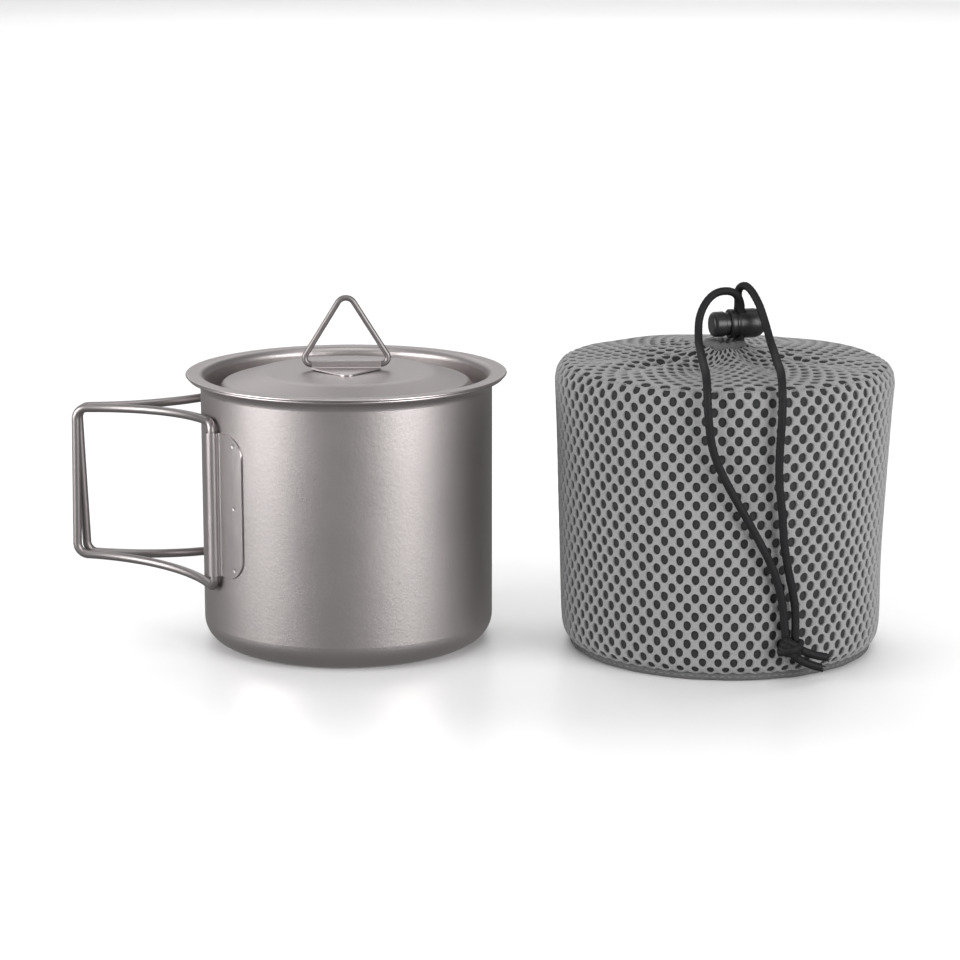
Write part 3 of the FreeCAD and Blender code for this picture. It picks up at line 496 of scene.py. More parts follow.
def spline_line(route):
    """Points along the smooth spline whose control points are the route, moved to the bag."""
    curve = bpy.data.curves.new("route", "CURVE")
    curve.dimensions = "3D"
    curve.resolution_u = 16
    spline = curve.splines.new("NURBS")
    spline.points.add(len(route) - 1)
    for point, corner in zip(spline.points, route):
        point.co = (*(BAG_AXIS + Vector(corner)), 1.0)
    spline.order_u = 3
    spline.use_endpoint_u = True
    guide = in_scene("route", curve)
    mesh = bpy.data.meshes.new_from_object(guide.evaluated_get(bpy.context.evaluated_depsgraph_get()))
    points = [vertex.co.copy() for vertex in mesh.vertices]
    bpy.data.objects.remove(guide)
    bpy.data.curves.remove(curve)
    bpy.data.meshes.remove(mesh)
    return points


# ---- the bag's shape

base_low, base_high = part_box("bag_base_panel")
side_low, side_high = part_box("bag_side_panel")
BAG_AXIS = Vector(((base_low.x + base_high.x) / 2, (base_low.y + base_high.y) / 2, 0.0))
BAG_RADIUS = (side_high.x - side_low.x) / 2
BAG_TOP = side_high.z
BASE_RADIUS = (base_high.x - base_low.x) / 2
UP = Vector((0, 0, 1))
# The bag's outline as shares of its greatest radius and of its height, from the bottom seam to the mouth.
OUTLINE = [
    (0.878, 0.016), (0.915, 0.034), (0.938, 0.072), (0.948, 0.16), (0.958, 0.34), (0.972, 0.54),
    (0.986, 0.74), (0.996, 0.86), (0.996, 0.898), (0.978, 0.932), (0.934, 0.956), (0.870, 0.9625),
    (0.760, 0.968), (0.620, 0.975), (0.480, 0.981), (0.350, 0.987), (0.250, 0.993), (0.180, 1.003),
    (0.140, 1.012),
]


class Outline:
    """A smooth line through the outline's points, measured by its length."""

    def __init__(self, shares, steps=14):
        corners = [(r * BAG_RADIUS, z * BAG_TOP) for r, z in shares]
        self.points = []
        for index in range(len(corners) - 1):
            a, b = corners[max(index - 1, 0)], corners[index]
            c, d = corners[index + 1], corners[min(index + 2, len(corners) - 1)]
            for step in range(steps):
                t = step / steps
                self.points.append(tuple(
                    0.5 * (2 * q + (r - p) * t + (2 * p - 5 * q + 4 * r - s) * t * t
                           + (3 * q - p - 3 * r + s) * t ** 3)
                    for p, q, r, s in zip(a, b, c, d)
                ))
        self.points.append(corners[-1])
        self.lengths = [0.0]
        for (r0, z0), (r1, z1) in zip(self.points, self.points[1:]):
            self.lengths.append(self.lengths[-1] + math.hypot(r1 - r0, z1 - z0))
        self.length = self.lengths[-1]

    def at(self, along):
        """Radius, height and outward direction at a length along the outline."""
        along = min(max(along, 0.0), self.length)
        above = min(bisect.bisect(self.lengths, along), len(self.lengths) - 1)
        (r0, z0), (r1, z1) = self.points[above - 1], self.points[above]
        start, end = self.lengths[above - 1], self.lengths[above]
        t = (along - start) / max(end - start, 1e-9)
        turn = math.atan2(z1 - z0, r1 - r0) - math.pi / 2
        return r0 + (r1 - r0) * t, z0 + (z1 - z0) * t, (math.cos(turn), math.sin(turn))


OUT = Outline(OUTLINE)


def smooth(value, low_end, high_end):
    """0 below the low end, 1 above the high end, and smooth between them."""
    t = min(max((value - low_end) / (high_end - low_end), 0.0), 1.0)
    return t * t * (3 - 2 * t)


def round_point(radius, angle, height):
    """A point at a distance from the bag's axis, an angle round it and a height."""
    return BAG_AXIS + Vector((radius * math.cos(angle), radius * math.sin(angle), height))


def bag_point(angle, along, depth=0.0):
    """A point on the bag: angle round it, length up its outline, and depth below its surface."""
    radius, height, (out, up) = OUT.at(along)
    # On the top the pleats deepen inwards and close again near the mouth, each a little unlike the next.
    gather = (1.0 - smooth(radius, 0.30 * BAG_RADIUS, 0.93 * BAG_RADIUS)) * (height > 0.5 * BAG_TOP)
    closing = 0.45 + 0.55 * smooth(radius, 0.13 * BAG_RADIUS, 0.34 * BAG_RADIUS)
    fold = bag().pleats * angle + 0.9 * math.sin(3 * angle + 1.0) + 0.5 * math.sin(5 * angle)
    valley = (0.5 - 0.5 * math.cos(fold)) ** 1.1
    uneven = 0.78 + 0.22 * math.sin(2 * angle + 0.6)
    sink = bag().pleat_depth * gather * closing * valley * uneven
    # The wall has wide shallow hollows between its seam and its shoulder, where the pleats fade out.
    wall = smooth(height, 0.02 * BAG_TOP, 0.3 * BAG_TOP) * smooth(-height, -0.97 * BAG_TOP, -0.80 * BAG_TOP)
    swell = math.sin(2 * angle + 1.3 + height * 22) * math.sin(3 * angle + height * 35)
    sag = bag().sag * wall * (1 + swell)
    crease = bag().crease * smooth(height, 0.78 * BAG_TOP, 0.93 * BAG_TOP) * (1 - gather) * valley
    depth = depth + sag + crease + sink
    return round_point(radius - out * depth, angle, height - up * depth)


# ---- geometry node trees


def group_tree(name, sockets):
    """A Geometry Nodes group: the tree, the sockets it starts from and the socket it ends in."""
    tree = bpy.data.node_groups.new(name, "GeometryNodeTree")
    tree.interface.new_socket("Geometry", in_out="INPUT", socket_type="NodeSocketGeometry")
    for label, kind in sockets.items():
        tree.interface.new_socket(label, in_out="INPUT", socket_type="NodeSocket" + kind)
    tree.interface.new_socket("Geometry", in_out="OUTPUT", socket_type="NodeSocketGeometry")
    start, end = tree.nodes.new("NodeGroupInput"), tree.nodes.new("NodeGroupOutput")
    return tree, start.outputs, end.inputs[0]


def run_tree(made, tree, values):
    """Gives an object the tree as a modifier with these inputs, and turns the result into a plain mesh."""
    modifier = made.modifiers.new(tree.name, "NODES")
    modifier.node_group = tree
    for item in tree.interface.items_tree:
        if item.in_out == "INPUT" and item.name in values:
            modifier[item.identifier] = values[item.name]
    return as_plain_mesh(made)


def finish_tree(tree, geometry, material, end):
    """Makes the geometry real, smooth and painted, and gives it to the tree's output."""
    real = add_node(tree, "GeometryNodeRealizeInstances", {}, Geometry=geometry)
    smooth_faced = add_node(tree, "GeometryNodeSetShadeSmooth", {}, Geometry=real.outputs[0])
    painted = add_node(
        tree, "GeometryNodeSetMaterial", {}, Geometry=smooth_faced.outputs[0], Material=material
    )
    tree.links.new(painted.outputs[0], end)


def net_tree():
    """Opens a hole in every cell of a mesh, gives the strands depth and rounds them."""
    tree, start, end = group_tree("open_net", {
        "Hole Width": "Float", "Hole Height": "Float", "Depth": "Float", "Centre": "Vector",
        "Material": "Material",
    })

    def vector_math(operation, *sockets, **named):
        return add_node(tree, "ShaderNodeVectorMath", {"operation": operation}, *sockets, **named).outputs[0]

    def scaled(mode, geometry, scale, **named):
        return add_node(
            tree, "GeometryNodeScaleElements", {"domain": "FACE", "scale_mode": mode}, Geometry=geometry,
            Selection=inner["Top"], Scale=scale, **named
        ).outputs["Geometry"]

    inner = add_node(
        tree, "GeometryNodeExtrudeMesh", {"mode": "FACES"}, Mesh=start["Geometry"], Offset_Scale=0.0,
        Individual=True,
    ).outputs
    tall = scaled("UNIFORM", inner["Mesh"], start["Hole Height"])
    ratio = add_node(
        tree, "ShaderNodeMath", {"operation": "DIVIDE"}, start["Hole Width"], start["Hole Height"]
    )
    outward = vector_math(
        "SUBTRACT", tree.nodes.new("GeometryNodeInputPosition").outputs[0], start["Centre"]
    )
    round_way = vector_math("CROSS_PRODUCT", (0.0, 0.0, 1.0), outward)
    narrow = scaled("SINGLE_AXIS", tall, ratio.outputs[0], Axis=round_way)
    opened = add_node(
        tree, "GeometryNodeDeleteGeometry", {"domain": "FACE", "mode": "ALL"}, Geometry=narrow,
        Selection=inner["Top"],
    )
    # An edge of the rim has one face beside it.
    beside = tree.nodes.new("GeometryNodeInputMeshEdgeNeighbors").outputs[0]
    equal = {"data_type": "INT", "operation": "EQUAL"}
    rim = add_node(tree, "FunctionNodeCompare", equal, None, None, beside, 1)
    inward = vector_math("SCALE", tree.nodes.new("GeometryNodeInputNormal").outputs[0], Scale=-1.0)
    walls = add_node(
        tree, "GeometryNodeExtrudeMesh", {"mode": "EDGES"}, Mesh=opened.outputs["Geometry"],
        Selection=rim.outputs[0], Offset=inward, Offset_Scale=start["Depth"],
    )
    rounded = add_node(tree, "GeometryNodeSubdivisionSurface", {}, Mesh=walls.outputs["Mesh"], Level=1)
    finish_tree(tree, rounded.outputs[0], start["Material"], end)
    return tree


def stitch_tree():
    """Sets stitches end to end along the edges of a mesh."""
    tree, start, end = group_tree("stitches", {"Pitch": "Float", "Thread": "Float", "Material": "Material"})
    line = add_node(tree, "GeometryNodeMeshToCurve", {}, Mesh=start["Geometry"])
    places = add_node(
        tree, "GeometryNodeResampleCurve", {"mode": "LENGTH"}, Curve=line.outputs[0], Length=start["Pitch"]
    )
    tangent = tree.nodes.new("GeometryNodeInputTangent").outputs[0]
    heading = add_node(tree, "FunctionNodeAlignRotationToVector", {"axis": "X"}, Vector=tangent)
    bead = add_node(tree, "GeometryNodeMeshUVSphere", {}, Segments=8, Rings=6, Radius=start["Thread"])
    longer = add_node(tree, "GeometryNodeTransform", {}, Geometry=bead.outputs[0], Scale=(3.4, 1.0, 1.0))
    laid = add_node(
        tree, "GeometryNodeInstanceOnPoints", {}, Points=places.outputs[0], Instance=longer.outputs[0],
        Rotation=heading.outputs[0],
    )
    finish_tree(tree, laid.outputs[0], start["Material"], end)
    return tree


def open_net(name, vertices, faces, material, tree, centre):
    """A net made from cells; its holes are narrowed round the upright axis through the centre."""
    cells = new_object(name, vertices, faces, None)
    return run_tree(cells, tree, {
        "Hole Width": bag().hole_width, "Hole Height": bag().hole_height, "Depth": bag().net_depth,
        "Centre": centre, "Material": material,
    })


def stitched(name, points, closed, pitch, thread, material, tree):
    """A row of stitches along a line, which may be closed into a ring."""
    count = len(points)
    edges = [(index, (index + 1) % count) for index in range(count if closed else count - 1)]
    line = new_object(name, points, [], None, edges)
    return run_tree(line, tree, {"Pitch": pitch, "Thread": thread, "Material": material})


# ---- pieces


def cell_rows(start, end, columns, pitch, depth):
    """Six-sided cells in staggered rows round the bag, between two lengths up its outline."""
    rows = round((end - start) / pitch)
    pitch = (end - start) / (rows + 1 / 3)
    vertices, faces = [], []
    for row in range(-1, rows):
        for half in range(2 * columns):
            rise = 4 / 3 if half % 2 == row % 2 else 1.0
            vertices.append(bag_point(math.pi * half / columns, start + (row + rise) * pitch, depth))
    for row in range(rows):
        for column in range(columns):
            middle = 2 * column + row % 2
            left, right = (middle - 1) % (2 * columns), (middle + 1) % (2 * columns)
            middle %= 2 * columns
            below, above = row * 2 * columns, (row + 1) * 2 * columns
            faces.append((
                below + middle, below + right, above + right, above + middle, above + left, below + left
            ))
    return vertices, faces


def where_narrower(share):
    """The length up the outline, past its shoulder, at which its radius falls to a share of the greatest."""
    return next(
        length for length, (radius, height) in zip(OUT.lengths, OUT.points)
        if height > 0.9 * BAG_TOP and radius < share * BAG_RADIUS
    )


def wall_shell(name, along_steps, round_steps, top_depth, bottom_depth, material):
    """A closed layer of the bag between two depths, from the bottom seam to the mouth."""
    vertices = []
    for depth, order in ((top_depth, range(along_steps)), (bottom_depth, range(along_steps - 1, -1, -1))):
        for step in order:
            along = OUT.length * step / (along_steps - 1)
            for column in range(round_steps):
                vertices.append(bag_point(math.tau * column / round_steps, along, depth))
    return new_object(name, vertices, ring_faces(2 * along_steps, round_steps, True), material)


def base_cells(cell, pitch):
    """Six-sided cells in staggered rows over the flat base, as far as its edge."""
    vertices, faces, known = [], [], {}

    def corner(half, third):
        """A corner of the lattice, half a cell across and a third of a row up at a time."""
        if (half, third) not in known:
            known[half, third] = len(vertices)
            vertices.append(BAG_AXIS + Vector((half * cell / 2, third * pitch / 3, base_low.z)))
        return known[half, third]

    rows = int(BASE_RADIUS / pitch) + 1
    for row in range(-rows, rows + 1):
        for column in range(-rows, rows + 1):
            half, third = 2 * column + row % 2, 3 * row
            if math.hypot(half * cell / 2, third * pitch / 3) < BASE_RADIUS - cell * 0.6:
                faces.append((
                    corner(half, third + 2), corner(half + 1, third + 1), corner(half + 1, third - 1),
                    corner(half, third - 2), corner(half - 1, third - 1), corner(half - 1, third + 1),
                ))
    return vertices, faces


def bag_nets():
    """The face net of the side panel, as the wall and the gathered top, and of the base panel."""
    tree = net_tree()
    yarn = knitted("spacer_mesh_yarn", bag().net_color, 0.35 * MM)
    pitch, columns = bag().row_pitch, bag().columns
    crease, gathered, overlap = where_narrower(0.95), where_narrower(0.46), 1.2 * MM
    nets = []
    # Folding hides more and more of the cloth towards the mouth, so fewer holes show there.
    for name, start, end, shown, depth in (
        ("bag_wall_net", 1.0 * MM, crease, columns, 0.0),
        ("bag_top_net", crease - overlap, gathered, columns * 3 // 4, 0.35 * MM),
        ("bag_gathered_net", gathered - overlap, OUT.length, columns * 3 // 5, 0.45 * MM),
    ):
        vertices, faces = cell_rows(start, end, shown, pitch, depth)
        nets.append(open_net(name, vertices, faces, yarn, tree, BAG_AXIS))
    vertices, faces = base_cells(math.tau * BAG_RADIUS / columns, pitch)
    # The base's holes keep one direction, so the axis for narrowing them is measured from far away.
    base = open_net("bag_base_net", vertices, faces, yarn, tree, BAG_AXIS - Vector((0.0, 40.0, 0.0)))
    return nets[0], join_meshes("bag_gathered_top", nets[1:]), base


def disc(name, radius, low_z, high_z, material, steps=96):
    """A flat round panel on the bag's axis, with softened edges."""
    vertices = []
    for reach, z in ((radius * 0.97, high_z), (radius, (low_z + high_z) / 2), (radius * 0.97, low_z)):
        vertices += [round_point(reach, math.tau * step / steps, z) for step in range(steps)]
    faces = ring_faces(3, steps, flip=True)
    faces += [tuple(range(steps)), tuple(range(3 * steps - 1, 2 * steps - 1, -1))]
    return new_object(name, vertices, faces, material)


def bag_lining():
    """The spacer mesh's dark back layers: the wall with its gathered top, and the base."""
    back = knitted("spacer_mesh_back", bag().lining_color, 0.4 * MM, 0.4)
    # The lining reaches a little into the net, and the base's net stands below its own lining.
    wall = wall_shell("bag_lining", 90, 2 * bag().columns, bag().net_depth * 0.92, bag().cloth, back)
    base = disc("bag_base_lining", BASE_RADIUS - 0.2 * MM, base_low.z + 0.8 * MM, base_high.z, back)
    return wall, base


def base_binding(tree):
    """Tape folded over the bottom seam, with a row of stitches."""
    low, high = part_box("bag_base_binding")
    half_tall, half_wide = (high.z - low.z) / 2, 1.3 * MM
    radius = (high.x - low.x) / 2 - half_tall
    around, steps = 16, 300
    # The tape's section is a square with round corners, kept low enough for its waves.
    squareness, waves_room = 0.6, 0.90
    vertices = []
    for point in range(around):
        turn = math.tau * point / around
        across, up = [math.copysign(abs(f(turn)) ** squareness, f(turn)) for f in (math.cos, math.sin)]
        across, up = half_wide * across, half_tall * up * waves_room
        for step in range(steps):
            angle = math.tau * step / steps
            wave = 1 + (0.05 * math.sin(17 * angle) + 0.04 * math.sin(29 * angle + 1))
            vertices.append(round_point(radius + across * wave, angle, half_tall + up * wave))
    tape = knitted("binding_tape", shade(bag().net_color, 0.42), 0.25 * MM)
    band = new_object("bag_base_tape", vertices, ring_faces(around, steps, True), tape)
    line = [round_point(radius + half_wide, math.tau * step / 240, half_tall) for step in range(240)]
    thread = braided("seam_thread", shade(bag().net_color, 0.5))
    seam = stitched("bag_base_stitches", line, True, 2.6 * MM, 0.26 * MM, thread, tree)
    return join_meshes("bag_base_seam", [band, seam])


def back_seam(tree):
    """Flat tape over the side panel's closing seam, at the back, with two rows of stitches."""
    tape = knitted("seam_tape", shade(bag().net_color, 0.55), 0.25 * MM)
    half_wide, across, steps, back = 3.2 * MM, 9, 110, math.pi / 2
    proud, sunk, rolled = 0.35 * MM, 0.25 * MM, 0.3 * MM
    foot, top = 0.02 * OUT.length, 0.86 * OUT.length

    def tape_point(shift, share, depth):
        """A point of the tape, by its distance from the tape's middle line and its share of the length."""
        along = foot + (top - foot) * share
        return bag_point(back + shift / OUT.at(along)[0], along, depth)

    vertices = []
    for depth, order in ((-proud, range(across)), (sunk, range(across - 1, -1, -1))):
        for index in order:
            shift = half_wide * (2 * index / (across - 1) - 1)
            edge = rolled if depth < 0 and index in (0, across - 1) else 0.0
            vertices += [tape_point(shift, step / (steps - 1), depth + edge) for step in range(steps)]
    faces, rings = [], 2 * across
    for ring in range(rings):
        here, there = ring * steps, (ring + 1) % rings * steps
        for step in range(steps - 1):
            faces.append((here + step, here + step + 1, there + step + 1, there + step))
    for step in (0, steps - 1):
        end = [ring * steps + step for ring in range(rings)]
        faces.append(tuple(end if step == 0 else end[::-1]))
    pieces = [new_object("bag_back_tape", vertices, faces, tape)]
    thread = braided("back_seam_thread", shade(bag().net_color, 0.5))
    for way in (-1, 1):
        line = [tape_point(way * half_wide * 0.7, step / 149, -0.4 * MM) for step in range(150)]
        pieces.append(stitched("stitch_row", line, False, 2.8 * MM, 0.24 * MM, thread, tree))
    return join_meshes("bag_back_seam", pieces)


def mouth_hem():
    """The gathered hem that holds the cord: a small puckered ring round the mouth."""
    low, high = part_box("bag_cord_channel")
    section = (high.z - low.z) / 2
    radius = (high.x - low.x) / 2 - section
    height = (low.z + high.z) / 2
    vertices, rings, steps = [], 20, 180
    for ring in range(rings):
        turn = math.tau * ring / rings
        for step in range(steps):
            angle = math.tau * step / steps
            pucker = 1 + 0.10 * math.cos(13 * angle + 1.5 * math.sin(turn)) + 0.05 * math.sin(5 * angle)
            reach = radius + section * pucker * math.cos(turn) * 0.98
            vertices.append(round_point(reach, angle, height + section * pucker * math.sin(turn) * 0.95))
    tape = knitted("hem_cloth", shade(bag().net_color, 0.45), 0.3 * MM)
    return new_object("bag_mouth_hem", vertices, ring_faces(rings, steps, True), tape)


def braid(radius):
    """How a braided cord's radius changes along it and round it."""
    bumps, pitch = cords().bumps, cords().braid_pitch

    def radius_at(along, angle):
        first = math.cos(bumps * angle + math.tau * along / pitch)
        second = math.cos(bumps * angle - math.tau * along / pitch)
        return radius * (0.95 + 0.05 * first * second + 0.02 * first)

    return radius_at


def lock_spring(finish):
    """The lock's coil spring with its closed ends, between the plunger's stem and the bottom of the bore."""
    low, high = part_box("cord_lock_spring")
    along = Vector((math.cos(LOCK_TURN), math.sin(LOCK_TURN), 0.0))
    across, wire, turns, steps, closed = UP.cross(along), 0.2 * MM, 5.0, 300, 0.35
    coil = (high.z - low.z) / 2 - wire
    # The box of a coil turned about Z is wider than the coil's length by its diameter's share.
    length = ((high.x - low.x) - (high.z - low.z) * math.sin(LOCK_TURN)) / math.cos(LOCK_TURN)
    centre = (low + high) / 2
    points = []
    for step in range(steps + 1):
        turn = turns * step / steps
        even = min(max((turn - 0.6) / (turns - 1.2), 0.0), 1.0)
        rise = smooth(turn, closed, turns - closed) * 0.4 + 0.6 * even
        angle = math.tau * turn
        points.append(
            centre + along * (rise - 0.5) * (length - 2 * wire)
            + (across * math.cos(angle) + UP * math.sin(angle)) * coil
        )
    piece = swept_tube("spring_coil", points, 14, lambda distance, angle: wire * 0.98, finish)
    return piece, along, centre + along * (length / 2 + 0.05 * MM)


def line_length(line):
    return sum((after - before).length for before, after in zip(line, line[1:]))


def cord_line(route):
    """The route as a smooth line with its points evenly spaced."""
    return spaced(spline_line(route), 0.25 * MM)


def overhand_knot(radius, yarn):
    """The knot: a tight coil of nearly three turns, tipped over a little, and a strand across it."""
    low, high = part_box("drawcord_knot")
    centre = (low + high) / 2
    outward = centre - BAG_AXIS
    outward.z = 0.0
    outward.normalize()
    across = UP.cross(outward)
    wide, deep, tall = 3.0 * MM, 1.75 * MM, (high.z - low.z) / 2 - radius
    turns, tip, coil_steps, over_steps = 2.7, math.radians(-24.0), 220, 80

    def knotted_point(x, y, z):
        """A point of the knot, given across, out and up before it is tipped."""
        turned_x, turned_z = x * math.cos(tip) - z * math.sin(tip), x * math.sin(tip) + z * math.cos(tip)
        return centre + across * turned_x + outward * y + UP * turned_z

    coil, over = [], []
    for step in range(coil_steps + 1):
        share = step / coil_steps
        turn = math.tau * turns * share
        swell = 1.0 - 0.16 * (2 * share - 1) ** 2
        coil.append(knotted_point(
            wide * swell * math.cos(turn), deep * swell * math.sin(turn), tall * (1.7 * share - 0.85)
        ))
    for step in range(over_steps + 1):
        share = 2 * step / over_steps - 1
        over.append(knotted_point(
            wide * 0.95 * share, (2.6 - 3.2 * share * share) * MM, tall * (0.9 * share + 0.25 * share ** 3)
        ))
    wraps = [
        swept_tube("coil", coil, 28, braid(radius * 0.92), yarn),
        swept_tube("over", over, 28, braid(radius), yarn),
    ]
    return join_meshes("drawcord_overhand_knot", wraps)


def frayed_tails(radius, yarn):
    """The cord's two short tails past the knot, with a brush of loose fibres at each end."""
    tails, fibre_radius = [], 0.09 * MM
    random.seed(7)
    for index, route in enumerate(TAIL_ROUTES):
        line = cord_line(route)
        tails.append(swept_tube(f"tail_{index}", line, 26, braid(radius), yarn))
        tip, way = line[-1], (line[-1] - line[-4]).normalized()
        for _ in range(26):
            spread = Vector([random.uniform(-1, 1) for _ in range(3)])
            root = tip + (spread - way * spread.dot(way)) * radius * 0.62
            reach = way * random.uniform(0.6, 1.5) * MM + spread * 0.35 * MM
            fibre = [root - way * 0.4 * MM, root + reach * 0.5, root + reach]
            tails.append(swept_tube("fibre", fibre, 5, lambda along, angle: fibre_radius, yarn))
    return join_meshes("drawcord_frayed_tails", tails)


def drawcord():
    """Both hanging ends with their lines, the overhand knot and the short frayed tails."""
    yarn, radius = braided("cord_braid", cords().color), cords().diameter / 2
    lines = [cord_line(route) for route in (LEFT_ROUTE, RIGHT_ROUTE)]
    names = ("drawcord_left_end", "drawcord_right_end")
    ends = [swept_tube(name, line, 30, braid(radius), yarn) for name, line in zip(names, lines)]
    return ends, lines, overhand_knot(radius, yarn), frayed_tails(radius, yarn)


# ---- operators


class POT_OT_metal(bpy.types.Operator):
    """Give the pot, the lid and their wires their titanium finish"""

    bl_idname = "pot_set.metal"
    bl_label = "Finish the titanium"

    def execute(self, context):
        sheet, wire, rough = metal().sheet_color, metal().wire_color, metal().roughness
        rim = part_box("lid_shell")[1].x
        plate = scuffed("bracket_titanium", shade(sheet, 1.08), rough - 0.04)
        rod = titanium("wire_titanium", wire, rough, 0.008 * MM, 0.006 * MM)
        finishes = {
            # Past these radii the pot's lip and the lid's flange get a painted highlight and a smoother
            # finish.
            "pot_shell": titanium("pot_titanium", sheet, rough, 0.026 * MM, 0.034 * MM, rim - 1.3 * MM),
            "lid_shell": titanium("lid_titanium", sheet, rough, 0.022 * MM, 0.020 * MM, rim - 0.9 * MM),
            # The bail is the handles' wire darkened to 0.68 of its colour: painted shade.
            "lid_bail": titanium("bail_titanium_painted_shade", shade(wire, 0.68), rough + 0.06, 0.008 * MM, 0.006 * MM),
            "front_handle_bracket": plate, "rear_handle_bracket": plate, "lid_bail_bracket": plate,
            "front_handle": rod, "rear_handle": rod,
        }
        for name, finish in finishes.items():
            paint(name, finish)
        return {"FINISHED"}


def paint(name, finish):
    """Puts a finish in a CAD node's material slots."""
    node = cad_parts[name]
    for slot in node.material_slots:
        slot.material = finish
    if not node.material_slots:
        node.data.materials.append(finish)


def on_bag(slot, *pieces):
    """Fixes pieces to the bag; slot is not used."""
    for piece in pieces:
        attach(piece, "bag")


class BAG_OT_net(bpy.types.Operator):
    """Make the bag's perforated face and its dark back"""

    bl_idname = "pot_set.bag_net"
    bl_label = "Make the bag"

    def execute(self, context):
        wall, top, base = bag_nets()
        lining, base_lining = bag_lining()
        on_bag("spacer_mesh", wall, top, base, lining, base_lining)
        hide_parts("bag_side_panel")
        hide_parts("bag_base_panel")
        return {"FINISHED"}


class BAG_OT_trim(bpy.types.Operator):
    """Make the bag's bound seam, back seam and gathered hem"""

    bl_idname = "pot_set.bag_trim"
    bl_label = "Trim the bag"

    def execute(self, context):
        tree = stitch_tree()
        binding, seam, hem = base_binding(tree), back_seam(tree), mouth_hem()
        on_bag("binding", binding, seam, hem)
        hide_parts("bag_base_binding")
        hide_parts("bag_cord_channel")
        return {"FINISHED"}


class CORD_OT_drawcord(bpy.types.Operator):
    """Make the drawcord's free ends, its knot and its tails"""

    bl_idname = "pot_set.drawcord"
    bl_label = "Make the drawcord"

    def execute(self, context):
        (left, right), lines, knot, tails = drawcord()
        on_bag("cord", left, right, knot, tails)
        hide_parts("drawcord_left")
        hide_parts("drawcord_right")
        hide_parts("drawcord_knot")
        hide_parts("drawcord_tails")
        for piece, line, more in ((left, lines[0], [knot, tails]), (right, lines[1], [])):
            line_length(line)
        paint("drawcord_in_channel", braided("loop_braid", cords().color))
        return {"FINISHED"}


class CORD_OT_lock(bpy.types.Operator):
    """Finish the cord lock's plastic and make its spring"""

    bl_idname = "pot_set.cord_lock"
    bl_label = "Finish the cord lock"

    def execute(self, context):
        paint("cord_lock_barrel", moulded("barrel_plastic", cords().plastic))
        paint("cord_lock_plunger", moulded("plunger_plastic", shade(cords().plastic, 1.3)))
        spring, axis, anchor = lock_spring(drawn_wire("spring_wire", (0.6, 0.6, 0.6, 1.0)))
        on_bag("spring_steel", spring)
        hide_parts("cord_lock_spring")
        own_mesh(spring)
        return {"FINISHED"}


def studio_floor(colour):
    """A pale sheet that curves up behind the set."""
    finish = Finish("floor")
    clouds = finish.noise(0.5, 2.0)
    tone = finish.blend(clouds, shade(colour, 0.99), colour)
    pale = finish.feed(base_color=tone, roughness=0.24 + clouds * 0.04)
    near, back, bend, top, half_wide, steps = -3.0, 5.4, 0.8, 3.0, 4.0, 24
    turns = [math.pi / 2 * step / steps for step in range(steps + 1)]
    curve = [(back - bend + bend * math.sin(turn), bend - bend * math.cos(turn)) for turn in turns]
    outline = [(near, 0.0), *curve, (back, top)]
    count = len(outline)
    vertices = [(side, y, z) for side in (-half_wide, half_wide) for y, z in outline]
    faces = [(row, count + row, count + row + 1, row + 1) for row in range(count - 1)]
    sweep = new_object("sweep", vertices, faces, pale)
    sweep.visible_glossy = False


def studio_lights(scene, fill_strength):
    """White light from all round, four soft boxes aimed at the set, and one over the floor behind it."""
    world = scene.world or bpy.data.worlds.new("studio")
    scene.world = world
    world.use_nodes = True
    sky = next(node for node in world.node_tree.nodes if node.type == "BACKGROUND")
    sky.inputs["Color"].default_value = (1.0, 1.0, 1.0, 1.0)
    sky.inputs["Strength"].default_value = fill_strength
    middle = Vector((0.03, 0.0, 0.05))
    for name, place, aim, width, height, radiance in (
        ("left_softbox", (-1.00, -0.62, 0.36), middle, 0.9, 0.7, 7.6),
        ("right_softbox", (0.98, -0.70, 0.36), middle, 0.74, 0.7, 8.2),
        ("rear_softbox", (-0.35, 1.05, 0.75), middle, 1.2, 0.6, 1.1),
        ("top_softbox", (0.05, -0.2, 1.7), middle, 1.2, 1.2, 1.6),
        ("floor_light", (0.0, 2.7, 1.9), Vector((0.0, 2.7, 0.0)), 5.0, 3.8, 2.7),
    ):
        light = bpy.data.lights.new(name, "AREA")
        light.shape, light.size, light.size_y = "RECTANGLE", width, height
        light.energy = radiance * math.pi * width * height
        lamp = in_scene(name, light)
        lamp.location = place
        lamp.rotation_euler = (aim - Vector(place)).to_track_quat("-Z", "Y").to_euler()
        lamp.visible_camera = False
        lamp.visible_glossy = name != "floor_light"


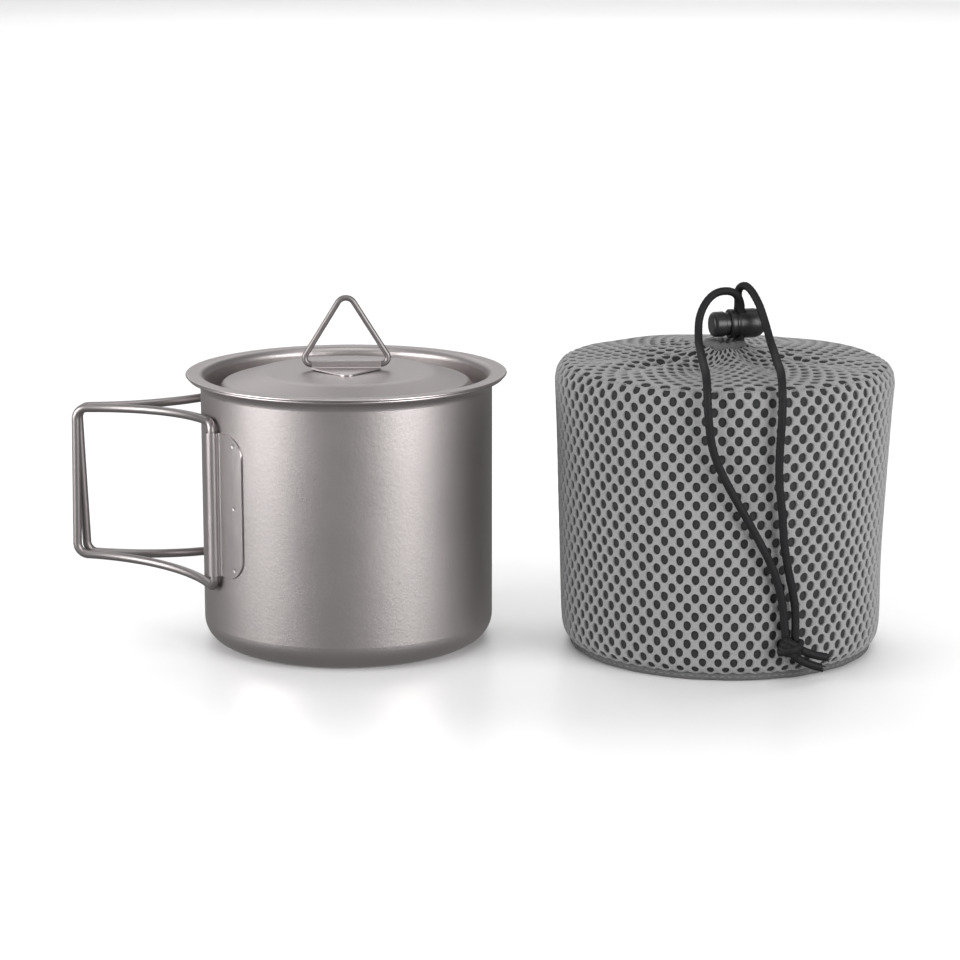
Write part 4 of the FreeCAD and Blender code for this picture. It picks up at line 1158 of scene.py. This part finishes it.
def studio_camera(scene, settings):
    """The camera, on a sphere round the pot's middle and aimed between the pot and the bag."""
    camera = bpy.data.cameras.new("camera")
    camera.lens = settings.lens
    viewer = in_scene("camera", camera)
    back = Vector((
        math.sin(settings.azimuth) * math.cos(settings.elevation),
        -math.cos(settings.azimuth) * math.cos(settings.elevation),
        math.sin(settings.elevation),
    ))
    viewer.location = Vector((0.0, 0.0, 0.047)) + back * settings.distance
    aim = Vector((0.046, 0.0, 0.056))
    viewer.rotation_euler = (aim - viewer.location).to_track_quat("-Z", "Y").to_euler()
    scene.camera = viewer


class STAGE_OT_stage(bpy.types.Operator):
    """Set up the floor, the lights and the camera"""

    bl_idname = "pot_set.stage"
    bl_label = "Set the stage"

    def execute(self, context):
        settings = context.scene.pot_stage
        studio_floor(settings.floor_color)
        studio_lights(context.scene, settings.fill)
        studio_camera(context.scene, settings)
        context.scene.view_settings.view_transform = "Standard"
        return {"FINISHED"}


class VIEW3D_PT_pot_set(bpy.types.Panel):
    """The pot set's steps and settings"""

    bl_label = "Pot set"
    bl_space_type = "VIEW_3D"
    bl_region_type = "UI"
    bl_category = "Pot set"

    def draw(self, context):
        for step in STEPS:
            self.layout.operator(step.bl_idname)
        for name, group in SETTINGS.items():
            settings = getattr(context.scene, name)
            for key in group.__annotations__:
                self.layout.prop(settings, key)


SETTINGS = {
    "pot_metal": MetalSettings, "pot_bag": BagSettings, "pot_cord": CordSettings, "pot_stage": StageSettings,
}
STEPS = [STAGE_OT_stage, CORD_OT_drawcord, POT_OT_metal, BAG_OT_net, BAG_OT_trim, CORD_OT_lock]
CLASSES = [*SETTINGS.values(), *STEPS, VIEW3D_PT_pot_set]


def register():
    for item in CLASSES:
        bpy.utils.register_class(item)
    for name, group in SETTINGS.items():
        setattr(bpy.types.Scene, name, PointerProperty(type=group))


def unregister():
    for name in SETTINGS:
        delattr(bpy.types.Scene, name)
    for item in reversed(CLASSES):
        bpy.utils.unregister_class(item)


def main():
    register()
    for step in STEPS:
        group, name = step.bl_idname.split(".")
        getattr(getattr(bpy.ops, group), name)()
    bpy.context.view_layer.update()


if __name__ == "__main__":
    main()
